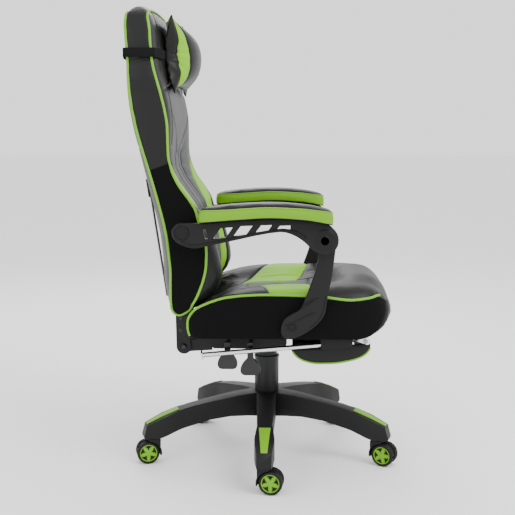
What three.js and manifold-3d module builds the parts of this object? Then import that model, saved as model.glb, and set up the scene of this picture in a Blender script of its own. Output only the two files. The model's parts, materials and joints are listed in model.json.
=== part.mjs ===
// Gaming chair with a five-leg caster base, gas lift, reclining back, linked
// armrests and a slide-out footrest that flips over.
// Millimetres, +Z up, +X forward, the column axis is X = Y = 0 and the floor is Z = 0.
import * as THREE from 'three';
import { mergeVertices } from 'three/addons/utils/BufferGeometryUtils.js';
import Module from 'manifold-3d';

const wasm = await Module();
wasm.setup();

// ---------------------------------------------------------------- driving sizes
const GAP = 0.4;                 // between pieces that touch
const RUN = 0.6;                 // radial play of a turning or sliding fit

// base and casters
const LEGS = 5;
const LEG_TURN = 270;            // degrees, first leg points to -Y
const BASE_RADIUS = 346;         // leg tip from the column axis
const CASTER_INSET = 30;         // stem axis in from the leg tip
const HUB_RADIUS = 36;
const HUB_BOTTOM = 106;
const HUB_TOP = 175;
const LEG_WALL = 5;
const WHEEL_RADIUS = 30;
const WHEEL_WIDTH = 19;
const WHEEL_FACETS = 20;
const HOOD_HEIGHT = 7;           // leg underside above the wheels
const WEB_WIDTH = 8;             // hood web between the two wheels
const TRAIL = 18;                // wheel axle behind the stem axis
const STEM_RADIUS = 5.5;
const STEM_LENGTH = 24;
const AXLE_RADIUS = 4;
const CASTER_HEADING = [-7.5, -29, 20, 160, 195];   // trail direction of each caster

// seat
const SEAT_REAR = -198;
const SEAT_FRONT = 325;
const SEAT_HALF_WIDTH = 255;
const SEAT_BOTTOM = 367;
const BOARD_THICKNESS = 9;
const MECHANISM_HALF_WIDTH = 62;
const MECHANISM_BOTTOM = SEAT_BOTTOM - 64;
const MECHANISM_REAR = -150;
const MECHANISM_FRONT = 55;
const MECHANISM_WALL = 4;

// column
const TUBE_RADIUS = 25;
const TUBE_WALL = 2.5;
const TUBE_BOTTOM = 110;
const TUBE_TOP = MECHANISM_BOTTOM - 19;
const UPPER_COVER_WALL = 2.9;
const COVER_PLAY = 2;            // between the two stages of the cover
const COVER_WALL = 2.5;
const COVER_TOP = TUBE_TOP - 10;
const UPPER_COVER_LENGTH = MECHANISM_BOTTOM - HUB_TOP - 10;
const CYLINDER_RADIUS = 14;
const ROD_RADIUS = 5;
const ROD_TOP = TUBE_TOP - 4;

// backrest
const BACK_BOTTOM = SEAT_BOTTOM + 54;
const BACK_TOP = 1195;
const BACK_HALF_WIDTH = SEAT_HALF_WIDTH - 3;
const HINGE = [SEAT_REAR - 23, MECHANISM_BOTTOM + 6];   // recline axis, X and Z
const HINGE_PIN_RADIUS = 6;
const BRACKET_PLATE = 5;
const BRACKET_HALF_WIDTH = 110;
const PILLOW_CENTRE = BACK_TOP - 117;
const PILLOW_HEIGHT = 182;
const PILLOW_HALF_WIDTH = 145;
const STRAP_WIDTH = 22;
const STRAP_THICKNESS = 2;
const LUMBAR_STRAP_WIDTH = 30;
const LUMBAR_STRAP_TOP = 823;
const LUMBAR_STRAP_PROUD = 16;   // stands off the swell at its lower end

// armrests
const ARM_REAR = [-200, SEAT_BOTTOM + 273];    // pivot on the backrest, X and Z
const ARM_FRONT = [145, SEAT_BOTTOM + 255];    // pivot on the post
const POST_FOOT = [67, SEAT_BOTTOM + 40];      // pivot on the seat side
const ARM_REAR_RADIUS = 23;
const ARM_FRONT_RADIUS = 33;
const POST_THICKNESS = 16;
const ARM_THICKNESS = 24;
const SIDE_CLEARANCE = 7;        // seat side to post
const PAD_REAR = -159;
const PAD_FRONT = 166;
const PAD_WIDTH = 78;
const PAD_HEIGHT = 38;
const LINK_PLAY = 7;             // room round the pin where the four-bar is left open
const BOLT_RADIUS = 6;
const HUB_PIN_RADIUS = 8;

// footrest
const RAIL_SPREAD = 200;         // rail axis from the middle
const RAIL_RADIUS = 6.5;
const RAIL_REAR = SEAT_REAR + 37;
const RAIL_SLOPE = 5.3;          // degrees, rising forward
const REST_PIVOT = [SEAT_FRONT - 72, SEAT_BOTTOM - 11];   // flip axis, X and Z
const SLEEVE_FROM = SEAT_FRONT - 184;
const SLEEVE_TO = SEAT_FRONT - 105;
const SLEEVE_HALF = 11;
const REST_LENGTH = REST_PIVOT[0] - 63;
const REST_DEPTH = 56;
const REST_BOARD = 8;
const REST_SIDE_PLAY = 9;        // footrest board to rail

// levers under the right side of the seat
const LEVERS = [
  { name: 'recline_lever', x: -98, low: SEAT_BOTTOM - 94 },
  { name: 'height_lever', x: -39, low: SEAT_BOTTOM - 110 },
];
const LEVER_ROOM = 20;           // lever axis below the seat board, room to lift
const LEVER_ROD = 5;
const PADDLE_HALF = 26;
const PADDLE_HEIGHT = 45;
const LEVER_INSET = 35;          // paddle in from the footrest rail

// ---------------------------------------------------------------- finishes
const FINISH = {
  leather: { color: 0x1d1d1f, roughness: 0.5, metalness: 0 },
  nylon: { color: 0x232325, roughness: 0.6, metalness: 0 },
  gloss: { color: 0x101011, roughness: 0.2, metalness: 0 },
  green: { color: 0x8cb53a, roughness: 0.45, metalness: 0 },
  tyre: { color: 0x161616, roughness: 0.8, metalness: 0 },
  steel: { color: 0x1b1b1c, roughness: 0.45, metalness: 0.6 },
  chrome: { color: 0xd8d9da, roughness: 0.2, metalness: 1 },
  webbing: { color: 0x141414, roughness: 0.9, metalness: 0 },
  plywood: { color: 0x9c7a4e, roughness: 0.8, metalness: 0 },
};

// ---------------------------------------------------------------- tools
const radians = THREE.MathUtils.degToRad;

function toSolid(geometry) {
  const bare = geometry.clone();
  bare.deleteAttribute('normal');
  bare.deleteAttribute('uv');
  const merged = mergeVertices(bare, 1e-4);
  return new wasm.Manifold(new wasm.Mesh({
    numProp: 3,
    vertProperties: new Float32Array(merged.attributes.position.array),
    triVerts: new Uint32Array(merged.index.array),
  }));
}

function toGeometry(solid) {
  const mesh = solid.getMesh();
  const geometry = new THREE.BufferGeometry();
  geometry.setAttribute('position', new THREE.BufferAttribute(mesh.vertProperties, 3));
  geometry.setIndex(new THREE.BufferAttribute(mesh.triVerts, 1));
  geometry.computeVertexNormals();
  return geometry;
}

const join = (...pieces) => toGeometry(pieces.map(toSolid).reduce((a, b) => a.add(b)));
const cut = (body, ...tools) => toGeometry(tools.map(toSolid).reduce((a, b) => a.subtract(b), toSolid(body)));
const meet = (a, b) => toGeometry(toSolid(a).intersect(toSolid(b)));

// Smooth value through a few [position, value] pairs, level at each peak and never past one.
function through(pairs, at) {
  const last = pairs.length - 1;
  let i = 0;
  while (i < last - 1 && at > pairs[i + 1][0]) i += 1;
  const rise = (k) => (pairs[k + 1][1] - pairs[k][1]) / (pairs[k + 1][0] - pairs[k][0]);
  const slope = (k) => {
    const before = rise(Math.max(k - 1, 0));
    const after = rise(Math.min(k, last - 1));
    return before * after > 0 ? 2 * before * after / (before + after) : 0;
  };
  const [x0, y0] = pairs[i];
  const [x1, y1] = pairs[i + 1];
  const t = THREE.MathUtils.clamp((at - x0) / (x1 - x0), 0, 1);
  const start = t * (1 - t) * (1 - t) * slope(i);
  const end = t * t * (1 - t) * slope(i + 1);
  return y0 + (y1 - y0) * t * t * (3 - 2 * t) + (start - end) * (x1 - x0);
}

const outline = (points) => new THREE.Shape(points.map(([x, y]) => new THREE.Vector2(x, y)));

// A side outline in X and Z, made thick from y0 to y1.
function sidePlate(shape, y0, y1, curveSegments = 8) {
  const plate = new THREE.ExtrudeGeometry(shape, { depth: y1 - y0, bevelEnabled: false, curveSegments });
  return plate.rotateX(Math.PI / 2).translate(0, y1, 0);
}

// A plan outline in X and Y, made tall from z0 to z1.
function slab(shape, z0, z1) {
  return new THREE.ExtrudeGeometry(shape, { depth: z1 - z0, bevelEnabled: false }).translate(0, 0, z0);
}

function box(x0, x1, y0, y1, z0, z1) {
  return new THREE.BoxGeometry(x1 - x0, y1 - y0, z1 - z0)
    .translate((x0 + x1) / 2, (y0 + y1) / 2, (z0 + z1) / 2);
}

// A closed profile of [radius, height] turned about Z.
function turned(profile, segments = 24) {
  const closed = [...profile, profile[0]];
  return new THREE.LatheGeometry(closed.map(([r, z]) => new THREE.Vector2(r, z)), segments)
    .rotateX(Math.PI / 2);
}

function pipe(inner, outer, z0, z1, segments = 24) {
  return turned([[inner, z0], [outer, z0], [outer, z1], [inner, z1]], segments);
}

// A round bar along Y.
function crossBar(radius, x, z, y0, y1, segments = 16) {
  return new THREE.CylinderGeometry(radius, radius, y1 - y0, segments).translate(x, (y0 + y1) / 2, z);
}

// A rounded block whose surface points are placed by a rule of three values in -1..1.
function cushion(steps, place) {
  const block = new THREE.BoxGeometry(2, 2, 2, ...steps);
  const points = block.attributes.position;
  for (let i = 0; i < points.count; i += 1) {
    points.setXYZ(i, ...place(points.getX(i), points.getY(i), points.getZ(i)));
  }
  return block;
}

const mix = (a, b, t) => a + (b - a) * (t + 1) / 2;

const chair = new THREE.Group();

function add(name, geometry, finish, group = chair) {
  const mesh = new THREE.Mesh(geometry, new THREE.MeshStandardMaterial(FINISH[finish]));
  mesh.name = name;
  group.add(mesh);
  return mesh;
}

// Both sides of a mirrored pair: right is -Y, left is +Y.
const SIDES = [['right', -1], ['left', 1]];
const across = (side, near, far) => (side < 0 ? [-far, -near] : [near, far]);

// ---------------------------------------------------------------- base
const legAngle = (i) => radians(LEG_TURN + i * 360 / LEGS);
const tipTop = BASE_RADIUS - 9;
const SOCKET_FLOOR = 2 * WHEEL_RADIUS + HOOD_HEIGHT;
const LEG_TOP = [[0, 176], [60, 173], [140, 162], [tipTop - 94, 143], [tipTop - 37, 122], [tipTop, 105]];
const LEG_FLOOR = [
  [0, HUB_BOTTOM], [60, 112], [110, 114], [168, 108], [tipTop - 88, 88], [tipTop - 32, SOCKET_FLOOR + 1],
];
const LEG_HALF = [[0, 27], [120, 24], [BASE_RADIUS - 111, 19], [BASE_RADIUS - 46, 26], [BASE_RADIUS, 18]];
const CASTER_RADIUS = BASE_RADIUS - CASTER_INSET;

function stations(from, to, count) {
  return Array.from({ length: count + 1 }, (_, i) => from + (to - from) * i / count);
}

// The flats of a leg's top, drawn through a few stations along it.
const legFlats = stations(0, tipTop, 8).map((r) => [r, through(LEG_TOP, r)]);
function legTop(r) {
  const next = Math.max(1, legFlats.findIndex(([at]) => at >= r - 1e-9));
  const [[r0, z0], [r1, z1]] = legFlats.slice(next - 1, next + 1);
  return z0 + (z1 - z0) * (r - r0) / (r1 - r0);
}

function legSolid(inset, drop, from, to) {
  const side = [
    ...stations(from, to, 8).map((r) => [r, legTop(r) - drop]),
    ...(inset ? [[to, 50], [from, 50]] : [
      [BASE_RADIUS, SOCKET_FLOOR + 7], [BASE_RADIUS - 3, SOCKET_FLOOR], [tipTop - 30, SOCKET_FLOOR],
      ...LEG_FLOOR.slice(0, -1).reverse(),
    ]),
  ];
  const reach = inset ? to : BASE_RADIUS;
  const edge = stations(from, reach, 6).map((r) => [r, through(LEG_HALF, r) - inset]);
  const plan = [...edge, ...edge.map(([r, w]) => [r, -w]).reverse()];
  return meet(sidePlate(outline(side), -40, 40), slab(outline(plan), 40, 190));
}

function baseStar() {
  const solids = [];
  for (let i = 0; i < LEGS; i += 1) {
    const leg = legSolid(0, 0, 0, tipTop);
    const hollow = legSolid(LEG_WALL, LEG_WALL, HUB_RADIUS + 4, CASTER_RADIUS - 22);
    const socket = new THREE.CylinderGeometry(STEM_RADIUS + RUN, STEM_RADIUS + RUN, 60, 16)
      .rotateX(Math.PI / 2).translate(CASTER_RADIUS, 0, SOCKET_FLOOR - 30 + STEM_LENGTH + 2);
    solids.push(toSolid(cut(leg, hollow, socket).rotateZ(legAngle(i))));
  }
  const hub = toSolid(pipe(TUBE_RADIUS, HUB_RADIUS, HUB_BOTTOM, HUB_TOP, 28));
  const bore = toSolid(new THREE.CylinderGeometry(TUBE_RADIUS + GAP, TUBE_RADIUS + GAP, 300, 28)
    .rotateX(Math.PI / 2).translate(0, 0, 150));
  const deck = toSolid(new THREE.CylinderGeometry(200, 200, 60, 6)
    .rotateX(Math.PI / 2).translate(0, 0, HUB_TOP + 30));
  return toGeometry(solids.reduce((a, b) => a.add(b), hub).subtract(bore).subtract(deck));
}
add('base_star', baseStar(), 'nylon');

const INLAY_FROM = tipTop - 87;
const INLAY_HALF = [15, 8];
const INLAY_THICKNESS = 2.6;
function inlay() {
  const flats = legFlats.map(([r]) => r).filter((r) => r > INLAY_FROM && r < tipTop - 1);
  const lower = [INLAY_FROM, ...flats, tipTop - 1].map((r) => [r, legTop(r) + GAP]);
  const side = [...lower, ...lower.map(([r, z]) => [r, z + INLAY_THICKNESS]).reverse()];
  const plan = [
    [INLAY_FROM - 1, INLAY_HALF[0]], [tipTop, INLAY_HALF[1]],
    [tipTop, -INLAY_HALF[1]], [INLAY_FROM - 1, -INLAY_HALF[0]],
  ];
  return meet(sidePlate(outline(side), -30, 30), slab(outline(plan), 90, 160));
}
for (let i = 0; i < LEGS; i += 1) add(`leg_inlay_${i + 1}`, inlay().rotateZ(legAngle(i)), 'green');

// ---------------------------------------------------------------- casters
const FENDER_INNER = WHEEL_RADIUS + 2;
const FENDER_OUTER = WHEEL_RADIUS + 6;
const CASTER_HALF = WEB_WIDTH / 2 + 0.6 + WHEEL_WIDTH;
const HOOD_TOP = SOCKET_FLOOR - GAP - WHEEL_RADIUS;

// The hood's side outline about the wheel centre, the stem side is +X.
function fender(inner) {
  const shape = new THREE.Shape();
  const low = radians(-12);
  const high = Math.acos(3 / inner);
  shape.moveTo(inner * Math.cos(low), inner * Math.sin(low));
  shape.lineTo(FENDER_OUTER * Math.cos(low), FENDER_OUTER * Math.sin(low));
  shape.absarc(0, 0, FENDER_OUTER, low, radians(25), false);
  shape.lineTo(FENDER_OUTER - 3, HOOD_TOP);
  shape.lineTo(3, HOOD_TOP);
  shape.absarc(0, 0, inner, high, low, true);
  return shape;
}

function hood() {
  const cover = sidePlate(fender(FENDER_INNER), -CASTER_HALF, CASTER_HALF, 5);
  const web = sidePlate(fender(14), -WEB_WIDTH / 2, WEB_WIDTH / 2, 5);
  const boss = crossBar(15, 0, 0, -WEB_WIDTH / 2, WEB_WIDTH / 2, 12);
  const stem = new THREE.CylinderGeometry(STEM_RADIUS, STEM_RADIUS, STEM_LENGTH + 6, 12)
    .rotateX(Math.PI / 2).translate(TRAIL, 0, HOOD_TOP + (STEM_LENGTH - 6) / 2);
  return cut(join(cover, web, boss, stem), crossBar(AXLE_RADIUS + GAP, 0, 0, -40, 40));
}

function wheel(side) {
  const inner = WEB_WIDTH / 2 + 0.6;
  const outer = inner + WHEEL_WIDTH;
  const bore = AXLE_RADIUS + GAP;
  const tread = WHEEL_RADIUS / Math.cos(Math.PI / WHEEL_FACETS);
  const profile = [
    [bore, inner], [tread, inner], [tread, outer - 3],
    [tread - 3, outer], [tread - 7, outer], [tread - 7, outer - 7], [bore, outer - 7],
  ];
  // A flat of the tread lies on the floor.
  return turned(profile, WHEEL_FACETS).rotateZ(Math.PI / WHEEL_FACETS)
    .rotateX(side < 0 ? Math.PI / 2 : -Math.PI / 2);
}

for (let i = 0; i < LEGS; i += 1) {
  const angle = legAngle(i);
  const heading = radians(CASTER_HEADING[i]);
  const caster = new THREE.Group();
  // The group's +X points from the wheel to the stem, against the trail.
  caster.rotation.z = heading + Math.PI;
  caster.position.set(
    CASTER_RADIUS * Math.cos(angle) + TRAIL * Math.cos(heading),
    CASTER_RADIUS * Math.sin(angle) + TRAIL * Math.sin(heading),
    WHEEL_RADIUS,
  );
  const axleHalf = CASTER_HALF - 9;
  add(`caster_hood_${i + 1}`, hood(), 'nylon', caster);
  add(`caster_axle_${i + 1}`, crossBar(AXLE_RADIUS, 0, 0, -axleHalf, axleHalf, 16), 'steel', caster);
  add(`caster_wheel_${i + 1}a`, wheel(-1), 'tyre', caster);
  add(`caster_wheel_${i + 1}b`, wheel(1), 'tyre', caster);
  chair.add(caster);
}

// ---------------------------------------------------------------- column
const tubeInner = TUBE_RADIUS - TUBE_WALL;
const upperCoverOuter = TUBE_RADIUS + RUN + UPPER_COVER_WALL;
const coverOuter = upperCoverOuter + COVER_PLAY + COVER_WALL;
const bearingTop = TUBE_BOTTOM + 10;
add('lift_outer_tube', turned([
  [ROD_RADIUS + RUN, TUBE_BOTTOM], [TUBE_RADIUS, TUBE_BOTTOM], [TUBE_RADIUS, TUBE_TOP],
  [CYLINDER_RADIUS + RUN, TUBE_TOP], [CYLINDER_RADIUS + RUN, TUBE_TOP - 12], [tubeInner, TUBE_TOP - 12],
  [tubeInner, TUBE_BOTTOM + 3], [ROD_RADIUS + RUN, TUBE_BOTTOM + 3],
]), 'steel');
add('thrust_bearing', pipe(ROD_RADIUS + RUN, 14, TUBE_BOTTOM + 3 + GAP, bearingTop, 24), 'chrome');
add('column_cover', turned([
  [coverOuter - COVER_WALL, HUB_TOP + GAP], [coverOuter, HUB_TOP + GAP],
  [coverOuter, COVER_TOP - 7], [coverOuter + 1.6, COVER_TOP - 5], [coverOuter + 1.6, COVER_TOP],
  [coverOuter - COVER_WALL, COVER_TOP],
], 28), 'nylon');
const rodCollar = bearingTop + GAP;
add('piston_rod', turned([
  [0, TUBE_BOTTOM - 5], [ROD_RADIUS, TUBE_BOTTOM - 5], [ROD_RADIUS, rodCollar], [9, rodCollar],
  [9, rodCollar + 4], [ROD_RADIUS, rodCollar + 4], [ROD_RADIUS, ROD_TOP], [0, ROD_TOP],
], 16), 'chrome');
const upperCoverTop = MECHANISM_BOTTOM - GAP;
const cylinderBottom = rodCollar + 8;
add('gas_cylinder', turned([
  [ROD_RADIUS + RUN, cylinderBottom], [CYLINDER_RADIUS, cylinderBottom],
  [CYLINDER_RADIUS, MECHANISM_BOTTOM + 20], [0, MECHANISM_BOTTOM + 20],
  [0, ROD_TOP + 6], [ROD_RADIUS + RUN, ROD_TOP + 6],
], 24), 'chrome');
add('column_cover_upper', turned([
  [TUBE_RADIUS + RUN, upperCoverTop - UPPER_COVER_LENGTH],
  [upperCoverOuter, upperCoverTop - UPPER_COVER_LENGTH], [upperCoverOuter, upperCoverTop],
  [CYLINDER_RADIUS + RUN, upperCoverTop], [CYLINDER_RADIUS + RUN, upperCoverTop - 3],
  [TUBE_RADIUS + RUN, upperCoverTop - 3],
], 28), 'nylon');

// ---------------------------------------------------------------- seat
const BOLSTER_AT = 0.75;         // share of the half width
const dished = (v, middle, crest) => (
  through([[0, middle], [BOLSTER_AT / 2, middle], [BOLSTER_AT, crest], [1, 0]], Math.abs(v))
);
// The outlines give [share of the depth from the rear, height above the bottom or inset from the side].
const SEAT_EDGE = [
  [0, 51], [0.04, 80], [0.105, 100], [0.243, 115], [0.44, 118], [0.68, 112], [0.876, 101], [0.971, 80],
  [1, 63],
];
// Rise over the side edge: of the bolsters, and of the dished middle between them.
const SEAT_CREST = [
  [0, -6], [0.105, -8], [0.2, 5], [0.3, 12], [0.436, 16], [0.6, 20], [0.73, 27], [0.85, 32], [0.95, 27],
  [1, 14],
];
const SEAT_MIDDLE = [
  [0, -12], [0.105, -34], [0.2, -20], [0.3, -14], [0.436, -14], [0.6, 0], [0.73, 22], [0.8, 42], [0.9, 46],
  [1, 24],
];
const SEAT_FLOOR = [[0, 25], [0.019, 4], [0.042, 0], [0.828, 0], [0.908, 13], [0.954, 30], [1, 57]];
const SEAT_INSET = [[0, 20], [0.063, 0], [0.761, 0], [0.895, 14], [0.962, 45], [1, 90]];
const seat = cushion([18, 8, 2], (u, v, w) => {
  const x = mix(SEAT_REAR, SEAT_FRONT, Math.sin(u * Math.PI / 2));
  const share = (x - SEAT_REAR) / (SEAT_FRONT - SEAT_REAR);
  const y = v * (SEAT_HALF_WIDTH - through(SEAT_INSET, share));
  const rise = dished(v, through(SEAT_MIDDLE, share), through(SEAT_CREST, share));
  const top = through(SEAT_EDGE, share) + rise;
  const floor = Math.min(through(SEAT_FLOOR, share), top - 5);
  return [x, y, SEAT_BOTTOM + mix(floor, top, w)];
});

const boardTop = SEAT_BOTTOM - GAP;
const boardBottom = boardTop - BOARD_THICKNESS;
const boardHalf = RAIL_SPREAD - SLEEVE_HALF - 7;
const boardRear = SEAT_REAR + 33;
const boardFront = SEAT_FRONT - 113;
add('seat_board', box(boardRear, boardFront, -boardHalf, boardHalf, boardBottom, boardTop), 'plywood');

function mechanism() {
  const top = boardBottom - GAP;
  const [hx, hz] = HINGE;
  const body = outline([
    [MECHANISM_REAR, MECHANISM_BOTTOM + 6], [MECHANISM_REAR + 10, MECHANISM_BOTTOM],
    [MECHANISM_FRONT - 8, MECHANISM_BOTTOM], [MECHANISM_FRONT, MECHANISM_BOTTOM + 14],
    [MECHANISM_FRONT, top], [MECHANISM_REAR, top],
  ]);
  const lug = new THREE.Shape();
  lug.absarc(hx, hz, 15, Math.PI / 2, Math.PI * 1.5, false);
  lug.lineTo(MECHANISM_REAR + 5, hz - 10);
  lug.lineTo(MECHANISM_REAR + 5, hz + 34);
  lug.lineTo(hx + 26, hz + 15);
  const wide = MECHANISM_HALF_WIDTH;
  const flange = box(MECHANISM_REAR, MECHANISM_FRONT, -wide - 18, wide + 18, top - 3, top);
  const socket = new THREE.CylinderGeometry(CYLINDER_RADIUS + GAP, CYLINDER_RADIUS + GAP, 40, 24)
    .rotateX(Math.PI / 2).translate(0, 0, MECHANISM_BOTTOM + 1);
  const pinHole = crossBar(HINGE_PIN_RADIUS + GAP, hx, hz, -200, 200);
  const lugs = [-1, 1].map((side) => sidePlate(lug, ...across(side, wide - BRACKET_PLATE, wide)));
  // A pressed pan, open below, with a boss for the top of the gas cylinder.
  const wall = MECHANISM_WALL;
  const inside = wide - wall;
  const low = MECHANISM_BOTTOM - 10;
  const hollow = box(MECHANISM_REAR + wall, MECHANISM_FRONT - wall, -inside, inside, low, top - wall);
  const bossRadii = [CYLINDER_RADIUS + 9, CYLINDER_RADIUS + 12];
  const boss = new THREE.CylinderGeometry(...bossRadii, top - MECHANISM_BOTTOM, 20)
    .rotateX(Math.PI / 2).translate(0, 0, (top + MECHANISM_BOTTOM) / 2);
  const pan = cut(sidePlate(body, -wide, wide), hollow);
  return cut(join(pan, flange, boss, ...lugs), socket, pinHole);
}
add('mechanism_housing', mechanism(), 'steel');

const plateInner = MECHANISM_HALF_WIDTH + RUN;
const plateOuter = plateInner + BRACKET_PLATE;
add('recline_pin', crossBar(HINGE_PIN_RADIUS, ...HINGE, -plateOuter - 6, plateOuter + 6), 'chrome');

const leverReach = RAIL_SPREAD - LEVER_INSET;
const leverAxis = boardBottom - LEVER_ROOM;
for (const lever of LEVERS) {
  const rodEnd = -MECHANISM_HALF_WIDTH - 20;
  const rod = crossBar(LEVER_ROD, lever.x, leverAxis, -leverReach, rodEnd, 12);
  const neck = 8;
  const shoulder = lever.low + PADDLE_HEIGHT;
  const half = PADDLE_HALF;
  const paddle = new THREE.Shape();
  paddle.moveTo(lever.x - neck, leverAxis + 7);
  paddle.lineTo(lever.x - neck, shoulder);
  paddle.quadraticCurveTo(lever.x - half, shoulder - 16, lever.x - half, lever.low + 13);
  paddle.quadraticCurveTo(lever.x - half + 1, lever.low + 1, lever.x - half + 12, lever.low);
  paddle.lineTo(lever.x + half - 12, lever.low);
  paddle.quadraticCurveTo(lever.x + half - 1, lever.low + 1, lever.x + half, lever.low + 13);
  paddle.quadraticCurveTo(lever.x + half, shoulder - 16, lever.x + neck, shoulder);
  paddle.lineTo(lever.x + neck, leverAxis + 7);
  const grip = sidePlate(paddle, -leverReach - 5, -leverReach + 6, 4);
  add(lever.name, join(rod, grip), 'gloss');
}

// ---------------------------------------------------------------- backrest
// The outlines give [share of the height, X or half width], the side edge first and the swell at its middle.
const BACK_FRONT = [
  [0, -208], [0.034, -178], [0.072, -165], [0.118, -152], [0.169, -143], [0.233, -141], [0.306, -156],
  [0.359, -166], [0.404, -192], [0.448, -214], [0.503, -228], [0.616, -232], [0.724, -250], [0.811, -267],
  [0.903, -272], [0.987, -282],
];
const BACK_REAR = [
  [0, -226], [0.036, -239], [0.155, -238], [0.255, -245], [0.394, -270], [0.501, -294], [0.61, -318],
  [0.717, -332], [0.842, -337], [0.942, -342], [0.987, -334],
];
const BACK_CREST = [
  [0, 0], [0.034, 15], [0.072, 44], [0.118, 50], [0.169, 38], [0.233, 24], [0.306, 6], [0.4, 2], [0.5, 2],
  [0.6, 7], [0.72, 14], [0.8, 12], [0.9, 10], [0.987, 4],
];
const BACK_MIDDLE = [
  [0, 0], [0.034, 8], [0.072, 25], [0.118, 22], [0.169, 16], [0.233, 12], [0.34, 5], [0.5, 5], [0.65, 10],
  [0.8, 14], [0.9, 14], [0.987, 6],
];
const BACK_REAR_CROWN = [[0, 4], [0.128, 32], [0.36, 34], [0.554, 26], [0.826, 16], [0.987, 6]];
const BACK_INSET = [[0, 26], [0.05, 2], [0.18, 0], [0.826, 0], [0.929, 8], [0.97, 24], [0.987, 50]];
const LUMBAR_HEIGHT = 200;       // this lowest stretch keeps its height in a taller back
const LUMBAR_SHARE = 0.2584;
function backShare(z) {
  const up = z - BACK_BOTTOM;
  if (up < LUMBAR_HEIGHT) return up / LUMBAR_HEIGHT * LUMBAR_SHARE;
  const over = (up - LUMBAR_HEIGHT) / (BACK_TOP - BACK_BOTTOM - LUMBAR_HEIGHT);
  return LUMBAR_SHARE + over * (1 - LUMBAR_SHARE);
}
const backHalf = (z) => BACK_HALF_WIDTH - through(BACK_INSET, backShare(z));
const swell = (v) => 1 - Math.abs(v) ** 3;
const backFront = (v, z) => through(BACK_FRONT, backShare(z))
  + dished(v, through(BACK_MIDDLE, backShare(z)), through(BACK_CREST, backShare(z)));
const backRear = (v, z) => through(BACK_REAR, backShare(z))
  - through(BACK_REAR_CROWN, backShare(z)) * swell(v);
const backrest = cushion([2, 8, 22], (u, v, w) => {
  const z = mix(BACK_BOTTOM, BACK_TOP - 10, Math.sin(w * Math.PI / 2) * 0.4 + w * 0.6);
  const lift = w > 0.99 ? 10 * swell(v) : 0;
  return [mix(backRear(v, z), backFront(v, z), u), v * backHalf(z), z + lift];
});
add('backrest_cushion', backrest, 'leather');
add('seat_cushion', cut(seat, backrest.clone().translate(GAP, 0, -GAP)), 'leather');

const [hingeX, hingeZ] = HINGE;
const bracketTop = BACK_BOTTOM - GAP - 4;
function backBracket() {
  const plate = new THREE.Shape();
  plate.absarc(hingeX, hingeZ, 20, Math.PI, Math.PI * 2, false);
  plate.lineTo(SEAT_REAR - 8, hingeZ + 30);
  plate.lineTo(SEAT_REAR - 8, bracketTop);
  plate.lineTo(hingeX - 22, bracketTop);
  const cheeks = [-1, 1].map((side) => sidePlate(plate, ...across(side, plateInner, plateOuter)));
  const half = BRACKET_HALF_WIDTH;
  const deck = box(hingeX - 24, SEAT_REAR - 8, -half, half, bracketTop - 5, bracketTop);
  const hole = crossBar(HINGE_PIN_RADIUS + GAP, hingeX, hingeZ, -200, 200);
  return cut(join(...cheeks, deck), hole);
}
add('back_bracket', backBracket(), 'steel');

const pillow = cushion([2, 8, 6], (u, v, w) => {
  const y = v * PILLOW_HALF_WIDTH * (1 - 0.06 * w * w);
  const z = PILLOW_CENTRE + w * PILLOW_HEIGHT / 2 * (1 - 0.16 * v * v);
  const rear = backFront(y / BACK_HALF_WIDTH, z) - 2;
  const puff = 24 + 58 * (1 - Math.abs(v) ** 2.4) * (1 - Math.abs(w) ** 2.6);
  return [mix(rear, rear + puff, u), y, z];
});
add('head_pillow', cut(pillow, backrest.clone().translate(GAP, 0, 0)), 'leather');

// Elastic strap from the pillow round the back, a rounded loop in a level plane.
function pillowStrap() {
  const clear = 2;
  const level = PILLOW_CENTRE - 8;
  const edges = [-1, 0, 1].map((k) => level + k * STRAP_WIDTH / 2);
  const rear = (v) => Math.min(...edges.map((z) => backRear(v, z)));
  const front = (v) => Math.max(...edges.map((z) => backFront(v, z)));
  const half = Math.max(...edges.map(backHalf)) + clear;
  const start = PILLOW_HALF_WIDTH + 6;
  const quarter = [0, 0.25, 0.5, 0.75].map((v) => [rear(v) - clear, v * half]);
  quarter.push([rear(1) - clear, half - clear], [rear(1), half]);
  quarter.push([front(1), half], [front(1) + clear, half - clear]);
  quarter.push([front(0.75) + clear, 0.75 * half], [front(start / half) + clear, start]);
  const path = [...quarter.slice(1).reverse().map(([x, y]) => [x, -y]), ...quarter];
  const outer = (offset) => path.map(([x, y], i) => {
    const a = path[Math.max(i - 1, 0)];
    const b = path[Math.min(i + 1, path.length - 1)];
    const length = Math.hypot(b[0] - a[0], b[1] - a[1]);
    return [x - (b[1] - a[1]) / length * offset, y + (b[0] - a[0]) / length * offset];
  });
  const loop = [...path, ...outer(STRAP_THICKNESS).reverse()];
  return slab(outline(loop), level - STRAP_WIDTH / 2, level + STRAP_WIDTH / 2);
}
add('pillow_strap', pillowStrap(), 'webbing');

// Taut strap down the middle of the back, clear of the swell of the cushion.
function lumbarStrap() {
  const top = LUMBAR_STRAP_TOP;
  const bottom = BACK_BOTTOM + 15;
  const high = backRear(0, top) - 2;
  const reach = (z) => high + (backRear(0, z) - high) * (top - bottom) / (top - z);
  const low = Math.min(...stations(bottom, top - 60, 20).map(reach)) - LUMBAR_STRAP_PROUD;
  const back = [[low - STRAP_THICKNESS, bottom], [high - STRAP_THICKNESS, top]];
  const half = LUMBAR_STRAP_WIDTH / 2;
  return sidePlate(outline([[low, bottom], [high, top], ...back.reverse()]), -half, half);
}
add('lumbar_strap', lumbarStrap(), 'webbing');

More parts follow.
